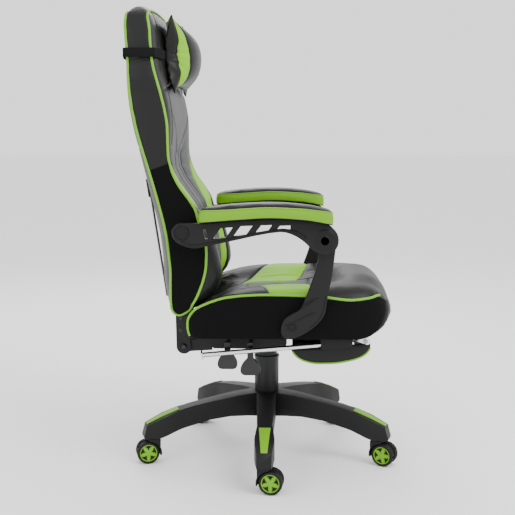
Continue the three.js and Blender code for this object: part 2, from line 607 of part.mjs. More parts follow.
// ---------------------------------------------------------------- armrests
const postInner = SEAT_HALF_WIDTH + SIDE_CLEARANCE;
const postOuter = postInner + POST_THICKNESS;
const armInner = postOuter + RUN;
const armOuter = armInner + ARM_THICKNESS;
const padMiddle = armInner + ARM_THICKNESS / 2 + 4;
const [ax, az] = ARM_REAR;
const [bx, bz] = ARM_FRONT;
const [cx, cz] = POST_FOOT;

// Heights above the seat's bottom.
const PAD_FLOOR = [[PAD_REAR, 297], [-74, 304], [16, 309], [92, 305], [PAD_FRONT, 293]];
const padFloor = (x) => SEAT_BOTTOM + through(PAD_FLOOR, x);
const frameTop = (x) => padFloor(x) - GAP;
const ARM_FLOOR = [[ax + 32, 237], [-121, 247], [-61, 259], [16, 274], [44, 277], [78, 270], [bx - 38, 243]];
const armFloor = (x) => SEAT_BOTTOM + through(ARM_FLOOR, x);

function armWindow(from, to, lean, wall) {
  const low = [armFloor(from) + wall, armFloor(to) + wall];
  const high = [frameTop(from + lean) - 14, frameTop(to + lean) - 14];
  return new THREE.Path([[from, low[0]], [to, low[1]], [to + lean, high[1]], [from + lean, high[0]]]
    .map(([x, y]) => new THREE.Vector2(x, y)));
}

function armFrame(side) {
  const body = new THREE.Shape();
  body.absarc(ax, az, ARM_REAR_RADIUS, Math.PI / 2, radians(245), false);
  for (const x of [ax + 18, -121, -61, 0, 44, 78, 98]) body.lineTo(x, armFloor(Math.max(x, ax + 32)));
  body.absarc(bx, bz, ARM_FRONT_RADIUS, radians(205), radians(360 + 62), false);
  for (const x of [bx + 8, 92, 16, -74, -140, PAD_REAR - 3]) body.lineTo(x, frameTop(x) - 0.4);
  body.holes = [
    armWindow(-116, -98, 20, 10), armWindow(-70, -46, 17, 9), armWindow(-18, 4, 12, 8),
  ];
  const pocket = across(side, armInner - 1, armInner + 12);
  const pinHole = crossBar(HUB_PIN_RADIUS + GAP, ax, az, ...across(side, armInner - 1, armOuter - 4));
  const linkRoom = crossBar(BOLT_RADIUS + LINK_PLAY, bx, bz, ...pocket, 24);
  return cut(sidePlate(body, ...across(side, armInner, armOuter), 6), pinHole, linkRoom);
}

function armPad(side) {
  return cushion([12, 4, 2], (u, v, w) => {
    const x = mix(PAD_REAR, PAD_FRONT, Math.sin(u * Math.PI / 2));
    const end = 1 - 0.3 * Math.abs(u) ** 8;
    const y = side * padMiddle + v * PAD_WIDTH / 2 * end;
    const floor = padFloor(x) + GAP;
    const height = PAD_HEIGHT * (1 - 0.22 * Math.abs(u) ** 10) - 4 * Math.abs(v) ** 4;
    return [x, y, mix(floor, floor + height, w)];
  });
}

function post(side) {
  const shape = new THREE.Shape();
  shape.absarc(bx + 1, bz, 26, radians(0), radians(180), false);
  for (const [x, z] of [[-22, 130], [-42, 80], [-60, 47], [-78, 34], [-100, 22]]) {
    shape.lineTo(bx + x, cz + z);
  }
  shape.absarc(cx, cz, 30, radians(160), radians(285), false);
  for (const [x, z] of [[20, -178], [6, -205], [-18, -225]].reverse()) shape.lineTo(bx + x - 14, bz + z + 10);
  for (const [x, z] of [[3, -166], [8, -138], [14, -100], [22, -50]]) shape.lineTo(bx + x, bz + z);
  const hole = crossBar(BOLT_RADIUS + GAP, cx, cz, ...across(side, postInner - 5, postOuter + 5));
  const pin = crossBar(BOLT_RADIUS, bx, bz, ...across(side, postInner + 4, armInner + 9));
  return cut(join(sidePlate(shape, ...across(side, postInner, postOuter), 6), pin), hole);
}

for (const [name, side] of SIDES) {
  add(`armrest_frame_${name}`, armFrame(side), 'nylon');
  add(`armrest_pad_${name}`, armPad(side), 'leather');
  add(`armrest_post_${name}`, post(side), 'nylon');
  const collar = [[0, 0], [14, 0], [14, SIDE_CLEARANCE - 1], [BOLT_RADIUS, SIDE_CLEARANCE - 1],
    [BOLT_RADIUS, SIDE_CLEARANCE + POST_THICKNESS - 1], [0, SIDE_CLEARANCE + POST_THICKNESS - 1]];
  add(`post_bolt_${name}`, turned(collar, 20).rotateX(-side * Math.PI / 2)
    .translate(cx, side * (SEAT_HALF_WIDTH + GAP), cz), 'steel');
  const sideOfBack = backHalf(az) + GAP;
  const spacer = armInner - sideOfBack - 1;
  const hub = [[0, 0], [17, 0], [17, spacer], [HUB_PIN_RADIUS, spacer],
    [HUB_PIN_RADIUS, spacer + ARM_THICKNESS - 6], [0, spacer + ARM_THICKNESS - 6]];
  add(`armrest_hub_pin_${name}`, turned(hub, 20).rotateX(-side * Math.PI / 2)
    .translate(ax, side * sideOfBack, az), 'steel');
}

// ---------------------------------------------------------------- footrest
// Everything below is drawn level about the flip axis and turned to the rail's slope.
const [px, pz] = REST_PIVOT;
const slope = radians(RAIL_SLOPE);
const tilted = (geometry) => geometry.rotateY(-slope).translate(px, 0, pz);
const fromPivot = (x) => (x - px) / Math.cos(slope);

function rail(side) {
  const rear = fromPivot(RAIL_REAR);
  const front = fromPivot(SLEEVE_TO + 4);
  const y = side * RAIL_SPREAD;
  const tube = new THREE.CylinderGeometry(RAIL_RADIUS, RAIL_RADIUS, front - rear, 16)
    .rotateZ(Math.PI / 2).translate((front + rear) / 2, y, 0);
  const stop = new THREE.CylinderGeometry(RAIL_RADIUS + 5, RAIL_RADIUS + 5, 4, 16)
    .rotateZ(Math.PI / 2).translate(rear, y, 0);
  const eye = new THREE.Shape();
  eye.moveTo(front - 2.5, -RAIL_RADIUS);
  eye.absarc(4, 0, 9, -Math.PI / 2, Math.PI / 2, false);
  eye.lineTo(front - 2.5, RAIL_RADIUS);
  const link = sidePlate(eye, y - 3, y + 3, 10);
  const hole = crossBar(BOLT_RADIUS + GAP, 0, 0, y - 20, y + 20);
  return tilted(cut(join(tube, stop, link), hole));
}

function sleeve(side) {
  const from = fromPivot(SLEEVE_FROM);
  const to = fromPivot(SLEEVE_TO);
  const y = side * RAIL_SPREAD;
  const block = box(from, to, y - SLEEVE_HALF, y + SLEEVE_HALF, -SLEEVE_HALF, SLEEVE_HALF + 30);
  const bore = new THREE.CylinderGeometry(RAIL_RADIUS + RUN, RAIL_RADIUS + RUN, 200, 20)
    .rotateZ(Math.PI / 2).translate((from + to) / 2, y, 0);
  const seat = box(SEAT_REAR, SEAT_FRONT, y - 20, y + 20, SEAT_BOTTOM - GAP, SEAT_BOTTOM + 60);
  return cut(tilted(cut(block, bore)), seat);
}

const restHalf = RAIL_SPREAD - REST_SIDE_PLAY - RAIL_RADIUS;
for (const [name, side] of SIDES) {
  add(`footrest_rail_${name}`, rail(side), 'chrome');
  add(`footrest_sleeve_${name}`, sleeve(side), 'nylon');
}
add('footrest_pivot_rod', tilted(crossBar(BOLT_RADIUS, 0, 0, -RAIL_SPREAD - 6, RAIL_SPREAD + 6)), 'steel');

function restBoard() {
  const board = box(-REST_LENGTH + 6, -2, -restHalf, restHalf, -REST_BOARD - 1, -1);
  const knuckle = crossBar(BOLT_RADIUS + 3, 0, 0, -restHalf, restHalf);
  const bore = crossBar(BOLT_RADIUS + GAP, 0, 0, -restHalf - 9, restHalf + 9);
  return tilted(cut(join(board, knuckle), bore));
}
add('footrest_board', restBoard(), 'steel');

const REST_CURVE = [[-REST_LENGTH, 6], [-REST_LENGTH + 22, 30], [-92, REST_DEPTH - 10], [-20, 38], [8, 14]];
add('footrest_cushion', tilted(cushion([10, 6, 2], (u, v, w) => {
  const x = mix(-REST_LENGTH, 8, Math.sin(u * Math.PI / 2));
  const top = -REST_BOARD - 1 - GAP - (x > -12 ? x + 12 : 0) * 0.1;
  const depth = through(REST_CURVE, x) * (0.86 + 0.14 * swell(v));
  return [x, v * (restHalf - 3) * (1 - 0.03 * u ** 6), mix(top - depth, top, w)];
})), 'leather');

export default chair;
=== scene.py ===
"""Looks of a reclining gaming chair, modelled round its fixed frame.

Metres, +Z up, +X forward out of the seat, the sitter's right is -Y. Tables of an outline are in millimetres."""
import json
import math

import bmesh
import bpy
import numpy as np
from mathutils import Matrix, Vector
from mathutils.bvhtree import BVHTree

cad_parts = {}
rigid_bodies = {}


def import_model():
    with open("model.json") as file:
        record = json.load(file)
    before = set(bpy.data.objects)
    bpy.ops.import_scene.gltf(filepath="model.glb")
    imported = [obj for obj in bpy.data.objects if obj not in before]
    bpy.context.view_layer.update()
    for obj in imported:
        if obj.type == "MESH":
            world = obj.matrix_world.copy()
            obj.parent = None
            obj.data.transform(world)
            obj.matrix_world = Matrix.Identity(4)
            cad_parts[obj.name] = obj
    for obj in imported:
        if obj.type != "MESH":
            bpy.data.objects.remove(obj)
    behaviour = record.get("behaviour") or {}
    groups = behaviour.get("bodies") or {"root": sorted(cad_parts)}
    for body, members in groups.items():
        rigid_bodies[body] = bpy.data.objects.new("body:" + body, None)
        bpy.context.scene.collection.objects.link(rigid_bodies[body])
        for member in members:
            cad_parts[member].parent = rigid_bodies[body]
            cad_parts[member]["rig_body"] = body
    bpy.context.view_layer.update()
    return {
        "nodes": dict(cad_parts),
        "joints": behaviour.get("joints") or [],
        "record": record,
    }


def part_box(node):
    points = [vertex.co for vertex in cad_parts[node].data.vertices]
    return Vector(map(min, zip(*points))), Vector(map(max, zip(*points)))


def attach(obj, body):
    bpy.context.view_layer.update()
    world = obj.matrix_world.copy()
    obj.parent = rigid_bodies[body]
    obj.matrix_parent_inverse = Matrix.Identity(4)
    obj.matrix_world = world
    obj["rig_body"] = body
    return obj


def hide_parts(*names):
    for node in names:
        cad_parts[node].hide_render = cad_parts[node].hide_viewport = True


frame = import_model()

bl_info = {
    "name": "Gaming Chair",
    "version": (1, 0, 0),
    "blender": (4, 5, 0),
    "location": "View3D > Sidebar > Chair",
    "description": "Upholstery, trims and finishes of a reclining gaming chair",
    "category": "Add Mesh",
}

MM = 0.001
SIDES = (("right", -1), ("left", 1))
LEGS = range(1, 6)
JOINTS = {joint["name"]: joint for joint in frame["joints"]}


# ---------------------------------------------------------------- sizes and colours

def length(name, description, millimetres):
    """A length that a user may change, in metres."""
    return bpy.props.FloatProperty(name=name, description=description, default=millimetres * MM,
                                   unit="LENGTH", precision=4)


def colour(name, description, rgb):
    """A colour that a user may change."""
    return bpy.props.FloatVectorProperty(name=name, description=description, default=rgb,
                                         subtype="COLOR", size=3, min=0, max=1)


class ChairSizes(bpy.types.PropertyGroup):
    """Sizes of the sewing and the trims"""
    piping: length("Piping radius", "Radius of the welt cord in the seams", 3.3)
    seam: length("Seam depth", "How far a sewn channel is pulled in", 2.6)
    stitch: length("Stitch length", "Length of one stitch", 4.0)
    voxel: length("Sewing grain", "Size of the faces that the stuffing swells", 7.0)
    swell: bpy.props.FloatProperty(name="Stuffing", description="Pressure of the stuffing", default=4.0, min=0)
    edge: length("Moulded edge", "Radius of the edges of moulded plastic", 1.6)


class ChairColours(bpy.types.PropertyGroup):
    """Colours of the covers and the hard parts"""
    leather: colour("Leather", "Black synthetic leather", (0.0085, 0.0085, 0.009))
    grey: colour("Grey leather", "Grey centre panels", (0.040, 0.040, 0.043))
    green: colour("Green", "Green panels", (0.22, 0.52, 0.012))
    piping: colour("Piping", "Green welt cord", (0.15, 0.39, 0.008))
    fabric: colour("Fabric", "Black side fabric", (0.0028, 0.0028, 0.0032))
    nylon: colour("Nylon", "Moulded black nylon", (0.0075, 0.0075, 0.008))
    trim: colour("Trim", "Green inlays and wheel rims", (0.14, 0.35, 0.008))


def sizes():
    return bpy.context.scene.chair_sizes


def colours():
    return bpy.context.scene.chair_colours


# ---------------------------------------------------------------- shaders

class Value:
    """An output socket, so that shader maths can be written as an expression."""

    def __init__(self, graph, socket):
        self.graph, self.socket = graph, socket

    def __add__(self, other):
        return self.graph.maths("ADD", self, other)

    def __sub__(self, other):
        return self.graph.maths("SUBTRACT", self, other)

    def __rsub__(self, other):
        return self.graph.maths("SUBTRACT", other, self)

    def __mul__(self, other):
        return self.graph.maths("MULTIPLY", self, other)

    def __truediv__(self, other):
        return self.graph.maths("DIVIDE", self, other)

    __radd__, __rmul__ = __add__, __mul__


class Graph:
    """The nodes of one material."""

    def __init__(self, name):
        self.material = bpy.data.materials.new(name)
        self.material.use_nodes = True
        self.tree = self.material.node_tree
        self.shader = self.tree.nodes["Principled BSDF"]

    def node(self, kind, inputs=None, output=0, stops=None, **settings):
        """Adds a node: its settings first, then the values or links of its sockets."""
        made = self.tree.nodes.new("ShaderNode" + kind)
        for key, value in settings.items():
            setattr(made, key, value)
        if stops:
            ramp = made.color_ramp.elements
            ramp[0].position, ramp[1].position = stops[0][0], stops[-1][0]
            for place, shade in stops[1:-1]:
                ramp.new(place)
            for item, (place, shade) in zip(ramp, stops):
                item.color = (shade, shade, shade, 1)
        for key, value in (inputs or {}).items():
            self.connect(value, made.inputs[key])
        return Value(self, made.outputs[output])

    def connect(self, value, socket):
        if isinstance(value, Value):
            self.tree.links.new(value.socket, socket)
        elif hasattr(value, "__len__") and len(value) == 3 and socket.type == "RGBA":
            socket.default_value = (*value, 1)
        else:
            socket.default_value = value

    def maths(self, operation, a, b=0.0, clamp=False):
        return self.node("Math", {0: a, 1: b}, operation=operation, use_clamp=clamp)

    def step(self, value, width=0.0004):
        """0 below -width and 1 above it."""
        return self.node("MapRange", {"Value": value, "From Min": -width, "From Max": width},
                         interpolation_type="SMOOTHSTEP")

    def mixed(self, share, a, b):
        """Colour a where share is 0 and b where it is 1."""
        return self.node("Mix", {0: share, 6: a, 7: b}, output=2, data_type="RGBA")

    def place(self, scale=(1, 1, 1), turn=(0, 0, 0)):
        where = self.node("TexCoord", output="Object")
        return self.node("Mapping", {"Vector": where, "Scale": scale, "Rotation": turn})

    def noise(self, where, scale, detail=3.0, roughness=0.5):
        inputs = {"Vector": where, "Scale": scale, "Detail": detail, "Roughness": roughness}
        return self.node("TexNoise", inputs)

    def cells(self, where, scale, feature="F1"):
        return self.node("TexVoronoi", {"Vector": where, "Scale": scale}, feature=feature)

    def field(self, name):
        """A distance that the piece's own vertices hold."""
        return self.node("Attribute", output="Fac", attribute_name=name)

    def bump(self, height, distance, strength=1.0, normal=None):
        inputs = {"Height": height, "Distance": distance, "Strength": strength}
        if normal:
            inputs["Normal"] = normal
        return self.node("Bump", inputs)

    def finish(self, **sockets):
        """Sets or links the shader's sockets, named with spaces as underscores."""
        for key, value in sockets.items():
            self.connect(value, self.shader.inputs[key.replace("_", " ")])
        return self.material


def upholstery(name, fields=(), painted_shade_factor=1.0):
    """Leather with the panels, fabric sides and seams that the piece's own distances draw; a factor below 1 darkens
    its green as painted shade.
    """
    graph = Graph(name)
    shades = colours()
    where = graph.place()
    grain = graph.cells(where, 900, "DISTANCE_TO_EDGE")
    pores = graph.noise(where, 1500, 2)
    clouds = graph.noise(where, 9, 4)
    shade = graph.mixed(clouds * 0.5, tuple(shades.leather), tuple(c * 1.5 for c in shades.leather))
    rough = clouds * 0.14 + 0.36
    height = grain * 0.8 + pores * 0.25
    if "grey" in fields:
        inside = graph.step(graph.field("grey"))
        strands = graph.noise(graph.place((1, 1, 0.12)), 700, 2)
        shade = graph.mixed(inside, shade, graph.mixed(strands, tuple(c * 0.8 for c in shades.grey),
                                                       tuple(c * 1.25 for c in shades.grey)))
        rough = rough + inside * 0.06
    if "green" in fields:
        inside = graph.step(graph.field("green"))
        fleck = graph.noise(graph.place((1, 1, 1)), 420, 3, 0.7)
        # Painted shade: a factor below 1 darkens the green, standing in for the shade on side-facing surfaces.
        green_fleck_and_painted_shade = graph.mixed(fleck * 0.9, tuple(c * 0.84 * painted_shade_factor for c in shades.green),
                           tuple(c * painted_shade_factor for c in shades.green))
        shade = graph.mixed(inside, shade, green_fleck_and_painted_shade)
        rough = rough + inside * 0.1
    if "fabric" in fields:
        inside = graph.step(graph.field("fabric"), 0.0006)
        across = graph.node("TexWave", {"Vector": where, "Scale": 260, "Distortion": 0.6, "Detail Scale": 4.0},
                            wave_type="BANDS", bands_direction="X")
        along = graph.node("TexWave", {"Vector": where, "Scale": 260, "Distortion": 0.6, "Detail Scale": 4.0},
                           wave_type="BANDS", bands_direction="Z")
        weave = graph.maths("MAXIMUM", across, along)
        cloth = graph.mixed(weave, tuple(c * 0.6 for c in shades.fabric), tuple(c * 1.4 for c in shades.fabric))
        shade = graph.mixed(inside, shade, cloth)
        rough = rough * (1 - inside) + inside * 0.82
        height = height * (1 - inside) + weave * inside * 1.4
    normal = graph.bump(height, 0.00035, 0.55)
    if "seam" in fields:
        apart = graph.field("seam")
        gap = graph.step(apart - 0.0011, 0.0006)
        shade = graph.mixed(gap, (0.002, 0.002, 0.002), shade)
        normal = graph.bump(graph.step(apart - 0.002, 0.002), 0.0012, 0.8, normal)
    sheen = 0.22 if "fabric" not in fields else 0.22 - graph.step(graph.field("fabric"), 0.0006) * 0.22
    return graph.finish(Base_Color=shade, Roughness=rough, Normal=normal, Specular_IOR_Level=0.08,
                        Coat_Weight=sheen, Coat_Roughness=0.38)


def sewn_cloth(name, rgb, scale=420, rough=0.6):
    """Green leather of the welt cords."""
    graph = Graph(name)
    where = graph.place()
    fleck = graph.noise(where, scale, 3, 0.6)
    shade = graph.mixed(fleck, tuple(c * 0.8 for c in rgb), tuple(min(1, c * 1.1) for c in rgb))
    normal = graph.bump(graph.cells(where, scale * 2), 0.0003, 0.5)
    return graph.finish(Base_Color=shade, Roughness=rough, Normal=normal)


def moulded(name, rgb, rough=0.5, grain=0.4, wear=0.12, shine=0.2):
    """Moulded plastic with a spark-eroded grain, a cloudy tone and cloudy roughness."""
    graph = Graph(name)
    where = graph.place()
    speckle = graph.noise(where, 1400, 2, 0.6)
    clouds = graph.noise(where, 14, 4)
    shade = graph.mixed(clouds * wear * 4, tuple(rgb), tuple(c * 1.35 for c in rgb))
    normal = graph.bump(speckle, 0.00025, grain)
    return graph.finish(Base_Color=shade, Roughness=clouds * 0.16 + (rough - 0.08), Normal=normal,
                        Specular_IOR_Level=shine)


def metal(name, rgb, rough, brushed=0.0):
    """Plated or bare steel with fine scratches along X."""
    graph = Graph(name)
    scratches = graph.noise(graph.place((0.04, 1, 1)), 1800, 3, 0.7)
    stains = graph.noise(graph.place(), 22, 4)
    shade = graph.mixed(stains, tuple(rgb), tuple(c * 0.86 for c in rgb))
    normal = graph.bump(scratches, 0.0001, 0.15 + brushed)
    return graph.finish(Base_Color=shade, Roughness=scratches * 0.1 + (stains * 0.06 + rough), Metallic=1.0,
                        Normal=normal)


def painted(name, rgb, rough=0.42):
    """Powder-coated steel with its orange-peel skin."""
    graph = Graph(name)
    where = graph.place()
    skin = graph.noise(where, 520, 2)
    dust = graph.noise(where, 30, 5, 0.6)
    shade = graph.mixed(dust * 0.5, tuple(rgb), tuple(c * 1.6 for c in rgb))
    normal = graph.bump(skin, 0.0004, 0.35)
    return graph.finish(Base_Color=shade, Roughness=dust * 0.15 + (rough - 0.05), Normal=normal,
                        Specular_IOR_Level=0.22)


def rubber(name):
    graph = Graph(name)
    where = graph.place()
    dust = graph.noise(where, 60, 5, 0.65)
    shade = graph.mixed(dust, (0.004, 0.004, 0.004), (0.012, 0.012, 0.0115))
    normal = graph.bump(graph.noise(where, 900, 2), 0.0003, 0.35)
    return graph.finish(Base_Color=shade, Roughness=dust * 0.25 + 0.42, Normal=normal, Specular_IOR_Level=0.2)


def webbing(name, rgb, pale=1.8, turn=0.0):
    """Elastic tape: ribs across it and a fine weave along it."""
    graph = Graph(name)
    ribs = graph.node("TexWave", {"Vector": graph.place(turn=(0, turn, 0)), "Scale": 330, "Distortion": 0.4},
                      wave_type="BANDS", bands_direction="Z")
    threads = graph.node("TexWave", {"Vector": graph.place(), "Scale": 300, "Distortion": 0.3},
                         wave_type="BANDS", bands_direction="Y")
    weave = ribs * 0.6 + threads * 0.4
    shade = graph.mixed(weave, tuple(c * 0.6 for c in rgb), tuple(c * pale for c in rgb))
    return graph.finish(Base_Color=shade, Roughness=0.85, Normal=graph.bump(weave, 0.0005, 0.7),
                        Specular_IOR_Level=0.1)


def plywood(name):
    """Birch plywood under a coat of black stain."""
    graph = Graph(name)
    rings = graph.node("TexWave", {"Vector": graph.place((1, 6, 1)), "Scale": 3, "Distortion": 6, "Detail": 4},
                       wave_type="BANDS", bands_direction="Y")
    shade = graph.mixed(rings, (0.030, 0.022, 0.015), (0.050, 0.037, 0.025))
    return graph.finish(Base_Color=shade, Roughness=rings * 0.1 + 0.62, Normal=graph.bump(rings, 0.0004, 0.4))


MADE = {}


def finish_of(name):
    """The named finish, made once."""
    makers = {
        "piping": lambda: sewn_cloth("green_piping", tuple(colours().piping)),
        "thread": lambda: sewn_cloth("black_thread", (0.03, 0.03, 0.032), 1500),
        "nylon": lambda: moulded("moulded_nylon", tuple(colours().nylon)),
        "nylon_dark": lambda: moulded("dark_nylon", tuple(c * 0.7 for c in colours().nylon), 0.42),
        "cover": lambda: moulded("column_plastic", (0.022, 0.022, 0.023), 0.4, 0.3),
        "gloss": lambda: moulded("gloss_plastic", (0.002, 0.002, 0.0025), 0.18, 0.02, shine=0.45),
        "trim": lambda: moulded("green_plastic", tuple(colours().trim), 0.38, 0.2, 0.05),
        "rubber": lambda: rubber("tyre_rubber"),
        "chrome": lambda: metal("chromed_steel", (0.86, 0.86, 0.88), 0.1),
        "steel": lambda: metal("bare_steel", (0.34, 0.34, 0.35), 0.32, 0.3),
        "dark_steel": lambda: metal("blackened_steel", (0.05, 0.05, 0.052), 0.35, 0.2),
        "paint": lambda: painted("black_paint", (0.007, 0.007, 0.0075)),
        "elastic": lambda: webbing("black_elastic", (0.005, 0.005, 0.005)),
        "pale_elastic": lambda: webbing("pale_elastic", (0.42, 0.42, 0.43), 1.5),
        "plywood": lambda: plywood("birch_plywood"),
    }
    if name not in MADE:
        MADE[name] = makers[name]()
    return MADE[name]


# ---------------------------------------------------------------- shapes

def through(pairs, at):
    """Smooth value through a few (position, value) pairs, level at each peak and never past one."""
    x, y = np.array(pairs, float).T
    at = np.clip(np.asarray(at, float), x[0], x[-1])
    rise = np.diff(y) / np.diff(x)
    before, after = np.r_[rise[0], rise], np.r_[rise, rise[-1]]
    same = before * after > 0
    slope = np.where(same, 2 * before * after / np.where(same, before + after, 1), 0)
    i = np.clip(np.searchsorted(x, at, side="right") - 1, 0, len(x) - 2)
    step = x[i + 1] - x[i]
    t = (at - x[i]) / step
    bend = t * (1 - t) ** 2 * slope[i] - t * t * (1 - t) * slope[i + 1]
    return y[i] + (y[i + 1] - y[i]) * t * t * (3 - 2 * t) + bend * step


def mixed(low, high, share):
    return low + (high - low) * share


def coordinates(mesh):
    found = np.zeros(len(mesh.vertices) * 3)
    mesh.vertices.foreach_get("co", found)
    return found.reshape(-1, 3)


def set_coordinates(mesh, points):
    mesh.vertices.foreach_set("co", np.asarray(points).ravel())
    mesh.update()


def linked(name, data):
    piece = bpy.data.objects.new(name, data)
    bpy.context.scene.collection.objects.link(piece)
    return piece


def mesh_of(form, name, smooth=True):
    """Turns a bmesh into a mesh."""
    data = bpy.data.meshes.new(name)
    form.to_mesh(data)
    form.free()
    if smooth:
        data.shade_smooth()
    return data


def sharpen(data, degrees=38):
    """Smooth shading that keeps the edges sharper than an angle."""
    data.shade_smooth()
    data.set_sharp_from_angle(angle=math.radians(degrees))


def dressed(piece, body, slot, *materials, replaces=()):
    """Gives a finished piece its body, its materials and the frame nodes that it stands for; its slot is not used."""
    for material in materials:
        piece.data.materials.append(material)
    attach(piece, body)
    if replaces:
        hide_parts(*replaces)
    return piece


def applied(piece):
    """Replaces a piece's mesh by what its modifiers make of it."""
    graph = bpy.context.evaluated_depsgraph_get()
    made = bpy.data.meshes.new_from_object(piece.evaluated_get(graph), depsgraph=graph)
    piece.modifiers.clear()
    old, piece.data = piece.data, made
    bpy.data.meshes.remove(old)
    return piece


def rounded_block(name, cuts, place):
    """A finely divided block whose surface points a rule of three values in -1..1 puts in place."""
    form = bmesh.new()
    bmesh.ops.create_cube(form, size=2)
    bmesh.ops.subdivide_edges(form, edges=form.edges, cuts=cuts, use_grid_fill=True)
    data = mesh_of(form, name)
    u, v, w = coordinates(data).T
    set_coordinates(data, np.stack(place(u, v, w), 1))
    return data


def stuffed(name, data, voxel, cap, pinned, tight=1.0):
    """A closed form swollen by its stuffing, held where `pinned` gives 1, then smoothed once."""
    piece = linked(name, data)
    remesh = piece.modifiers.new("Remesh", "REMESH")
    remesh.mode = "VOXEL"
    remesh.voxel_size = voxel
    applied(piece)
    start = coordinates(piece.data)
    held = piece.vertex_groups.new(name="held")
    for index, weight in enumerate(pinned(*start.T)):
        if weight > 0.02:
            held.add([index], float(weight), "REPLACE")
    cloth = piece.modifiers.new("Cloth", "CLOTH")
    cloth.settings.quality = 5
    cloth.settings.mass = 0.3
    cloth.settings.tension_stiffness = cloth.settings.compression_stiffness = 7
    cloth.settings.shear_stiffness = 3
    cloth.settings.bending_stiffness = 0.3
    cloth.settings.use_pressure = True
    cloth.settings.uniform_pressure_force = sizes().swell * tight
    cloth.settings.vertex_group_mass = "held"
    cloth.settings.effector_weights.gravity = 0
    for step in range(1, 21):
        bpy.context.scene.frame_set(step)
    applied(piece)
    bpy.context.scene.frame_set(1)
    moved = coordinates(piece.data) - start
    far = np.linalg.norm(moved, axis=1, keepdims=True)
    set_coordinates(piece.data, start + moved * np.minimum(1, cap / np.maximum(far, 1e-9)))
    piece.vertex_groups.clear()
    smooth = piece.modifiers.new("Smooth", "SUBSURF")
    smooth.levels = smooth.render_levels = 1
    applied(piece)
    piece.data.shade_smooth()
    return piece


def with_fields(piece, fields):
    """Stores the distances, in metres, that the piece's shader reads."""
    for name, values in fields.items():
        layer = piece.data.attributes.new(name, "FLOAT", "POINT")
        layer.data.foreach_set("value", np.asarray(values, np.float32))


def pulled_in(piece, apart, depth, width=4 * MM):
    """Draws a surface in along its seams."""
    normals = np.zeros(len(piece.data.vertices) * 3)
    piece.data.vertices.foreach_get("normal", normals)
    inward = depth * np.exp(-(apart / width) ** 2)
    set_coordinates(piece.data, coordinates(piece.data) - normals.reshape(-1, 3) * inward[:, None])


def surface_of(piece):
    """What a line is laid on."""
    return BVHTree.FromPolygons([v.co for v in piece.data.vertices], [tuple(p.vertices) for p in piece.data.polygons])


def evenly(points, gap):
    """Points along a line, a fixed distance apart."""
    line = np.array(points, float)
    run = np.r_[0, np.cumsum(np.linalg.norm(np.diff(line, axis=0), axis=1))]
    at = np.linspace(0, run[-1], max(2, round(run[-1] / gap) + 1))
    return np.stack([np.interp(at, run, line[:, k]) for k in range(3)], 1)


def laid(surface, points, lift, gap=8 * MM):
    """A line of points in metres, laid on a surface and raised by `lift`."""
    found = []
    for point in evenly(points, gap):
        at, normal, _, _ = surface.find_nearest(Vector(point))
        found.append(at + normal * lift)
    line = np.array(found)
    for _ in range(2):
        line[1:-1] = line[1:-1] * 0.5 + (line[:-2] + line[2:]) * 0.25
    return line


def cord_along(name, points, radius, closed=False, finish="piping"):
    """A round cord sewn along a line."""
    curve = bpy.data.curves.new(name, "CURVE")
    curve.dimensions = "3D"
    curve.bevel_depth = radius
    curve.bevel_resolution = 3
    curve.use_fill_caps = not closed
    spline = curve.splines.new("POLY")
    spline.points.add(len(points) - 1)
    spline.points.foreach_set("co", np.c_[points, np.ones(len(points))].ravel())
    spline.use_cyclic_u = closed
    spline.use_smooth = True
    piece = linked(name, curve)
    graph = bpy.context.evaluated_depsgraph_get()
    data = bpy.data.meshes.new_from_object(piece.evaluated_get(graph))
    bpy.data.objects.remove(piece)
    data.shade_smooth()
    data.materials.clear()
    piece = linked(name, data)
    piece.data.materials.append(finish_of(finish))
    return piece


def joined(name, parts):
    """Several pieces made one."""
    form = bmesh.new()
    for part in parts:
        form.from_mesh(part.data)
    bmesh.ops.remove_doubles(form, verts=form.verts, dist=1e-6)
    data = mesh_of(form, name)
    for material in parts[0].data.materials:
        data.materials.append(material)
    for part in parts:
        bpy.data.objects.remove(part)
    return linked(name, data)


def stitches(name, surface, lines, offset=0.0):
    """Rows of single stitches that lie on a surface."""
    form = bmesh.new()
    size = sizes().stitch
    for line in lines:
        points = evenly(line, size * 1.5)
        for a, b in zip(points[:-1], points[1:]):
            along = Vector(b - a).normalized()
            at, normal, _, _ = surface.find_nearest(Vector((a + b) / 2))
            side = along.cross(normal).normalized()
            turn = Matrix((along, side, normal)).transposed().to_4x4()
            spot = Matrix.Translation(at + side * offset + normal * 0.25 * MM)
            shape = Matrix.Diagonal((size / 2, 0.55 * MM, 0.45 * MM, 1))
            bmesh.ops.create_icosphere(form, subdivisions=1, radius=1, matrix=spot @ turn @ shape)
    return linked(name, mesh_of(form, name))


def near(apart, width):
    """1 on a line, falling to 0 at a distance of width."""
    return np.clip(1 - apart / width, 0, 1)


def refined(node, edge=0.0, segments=2, angle=32, finish="nylon", name=None, choose=None, slot=None):
    """A merged copy of a frame node with its edges rounded, which stands for that node."""
    source = frame["nodes"][node]
    form = bmesh.new()
    form.from_mesh(source.data)
    bmesh.ops.remove_doubles(form, verts=form.verts, dist=0.02 * MM)
    bmesh.ops.dissolve_limit(form, angle_limit=math.radians(1.0), verts=form.verts, edges=form.edges)
    if edge:
        limit = math.radians(angle)
        picked = [e for e in form.edges if e.is_manifold and e.calc_face_angle(0) > limit
                  and (choose is None or choose(e))]
        bmesh.ops.bevel(form, geom=picked, offset=edge, offset_type="OFFSET", affect="EDGES",
                        segments=segments, profile=0.5, material=-1, clamp_overlap=True)
    data = mesh_of(form, (name or node) + "_shape")
    sharpen(data)
    piece = linked(name or node + "_finished", data)
    slots = {row["node"]: row["material_slot"] for row in frame["record"]["subparts"]}
    return dressed(piece, source["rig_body"], slot or slots[node], finish_of(finish), replaces=(node,))


# ---------------------------------------------------------------- stage

